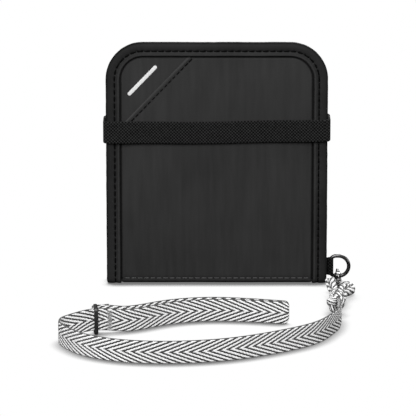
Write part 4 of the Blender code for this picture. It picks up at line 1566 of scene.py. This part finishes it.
def build_lead(material):
    """Crumpled webbing from the swivel's bar to the knot, in two strands, one of them slack."""
    low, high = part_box("strap_knot")
    knot = (low + high) / 2
    bar = (EYE_LOW + EYE_HIGH) / 2
    bar.y = EYE_LOW.y + 0.55 * MM
    strands = []
    for name, from_bar, from_knot, width, depth, twist in LEAD_STRANDS:
        points = [bar + Vector(move) * MM for move in from_bar]
        points += [knot + Vector(move) * MM for move in from_knot]
        strands.append(bunched_strand(name, points, width, depth, twist, material))
    lead = join("gathered_lead", strands)
    lead.data.shade_smooth()
    attach(lead, "webbing", "strap_lead", body="strap_1")


def build_knot(material):
    """A pulled-tight overhand knot of gathered webbing."""
    low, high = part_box("strap_knot")
    centre = (low + high) / 2
    tube = 1.75 * MM
    reach = (high - low) / 2 - Vector((tube, tube, tube))
    points = []
    for step in range(72):
        t = 2 * math.pi * step / 72
        x = (math.sin(t) + 2 * math.sin(2 * t)) / 3
        y = -math.sin(3 * t) * 0.75
        z = (math.cos(t) - 2 * math.cos(2 * t)) / 3
        points.append(centre + Vector((x * reach.x, y * reach.y, z * reach.z)))
    section = []
    for a, b in round_section(tube, 28):
        crease = 1 - 0.13 * max(math.cos(3 * math.atan2(b, a)), 0) ** 3
        section.append((a * crease, b * crease))
    outs = [point - centre for point in points]
    knot = sweep("tight_knot", points, section, material, outs, closed=True)
    for loop in knot.data.uv_layers["strip"].data:
        loop.uv = (loop.uv.x * 0.8, loop.uv.y * 1.4)
    attach(knot, "webbing", "strap_knot", body="strap_1")


# Stage


def build_stage(material):
    """A white floor and sky with area lights round the object."""
    bpy.ops.mesh.primitive_plane_add(size=6, location=(0, 0, FLOOR_Z))
    floor = bpy.context.object
    floor.name = "floor"
    floor.data.materials.append(material)
    keep_floor_below(floor)
    world = bpy.data.worlds.new("studio")
    bpy.context.scene.world = world
    world.use_nodes = True
    tree = world.node_tree
    background = tree.nodes["Background"]
    background.inputs[0].default_value = grey(1)
    seen = tree.nodes.new("ShaderNodeLightPath").outputs["Is Camera Ray"]
    strength = tree.nodes.new("ShaderNodeMapRange")
    strength.inputs["To Min"].default_value = SKY_LIGHT
    tree.links.new(seen, strength.inputs["Value"])
    tree.links.new(strength.outputs[0], background.inputs[1])
    for name, place, size, power in LIGHTS:
        add_light(name, Vector(place), size, power)


def keep_floor_below(floor):
    """Lowers the floor when the back half folds open below it, so that it never hides that half."""
    tip = put_in_scene("back_half_tip", None)
    tip.location = (0, HALF_DEPTH + 1 * MM, HEIGHTS[BACK] + 1 * MM)
    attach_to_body(tip, "back_half")
    follow = floor.constraints.new("COPY_LOCATION")
    follow.target = tip
    follow.use_x = False
    follow.use_y = False
    highest = floor.constraints.new("LIMIT_LOCATION")
    highest.use_max_z = True
    highest.max_z = FLOOR_Z


def add_light(name, place, size, power):
    light = bpy.data.lights.new(name, "AREA")
    light.size = size
    light.energy = power
    made = put_in_scene(name, light)
    made.location = place
    made.rotation_euler = (LIGHT_AIM - place).to_track_quat("-Z", "Y").to_euler()


def build_camera():
    lens = bpy.data.cameras.new("camera")
    lens.lens = LENS_MM
    lens.sensor_width = SENSOR_MM
    lens.clip_start = 0.05
    lens.clip_end = 20
    camera = put_in_scene("camera", lens)
    forward = Vector((0, math.cos(VIEW_ELEVATION), -math.sin(VIEW_ELEVATION)))
    camera.location = VIEW_AIM - forward * VIEW_DISTANCE
    camera.rotation_euler = forward.to_track_quat("-Z", "Y").to_euler()
    bpy.context.scene.camera = camera
    bpy.context.scene.view_settings.view_transform = "Standard"


def build():
    materials = make_materials()
    build_shell(materials)
    build_patch(materials)
    build_fold_stitches(materials["seam_thread"])
    build_inside(materials)
    build_band(materials)
    build_tab(materials["tab"])
    build_ring(materials["metal"])
    build_clasp(materials)
    build_lead(materials["crease_shaded_webbing"])
    build_knot(materials["crease_shaded_webbing"])
    build_strap(materials["webbing"])
    build_slider(materials)
    build_stage(materials["floor"])
    build_camera()


build()
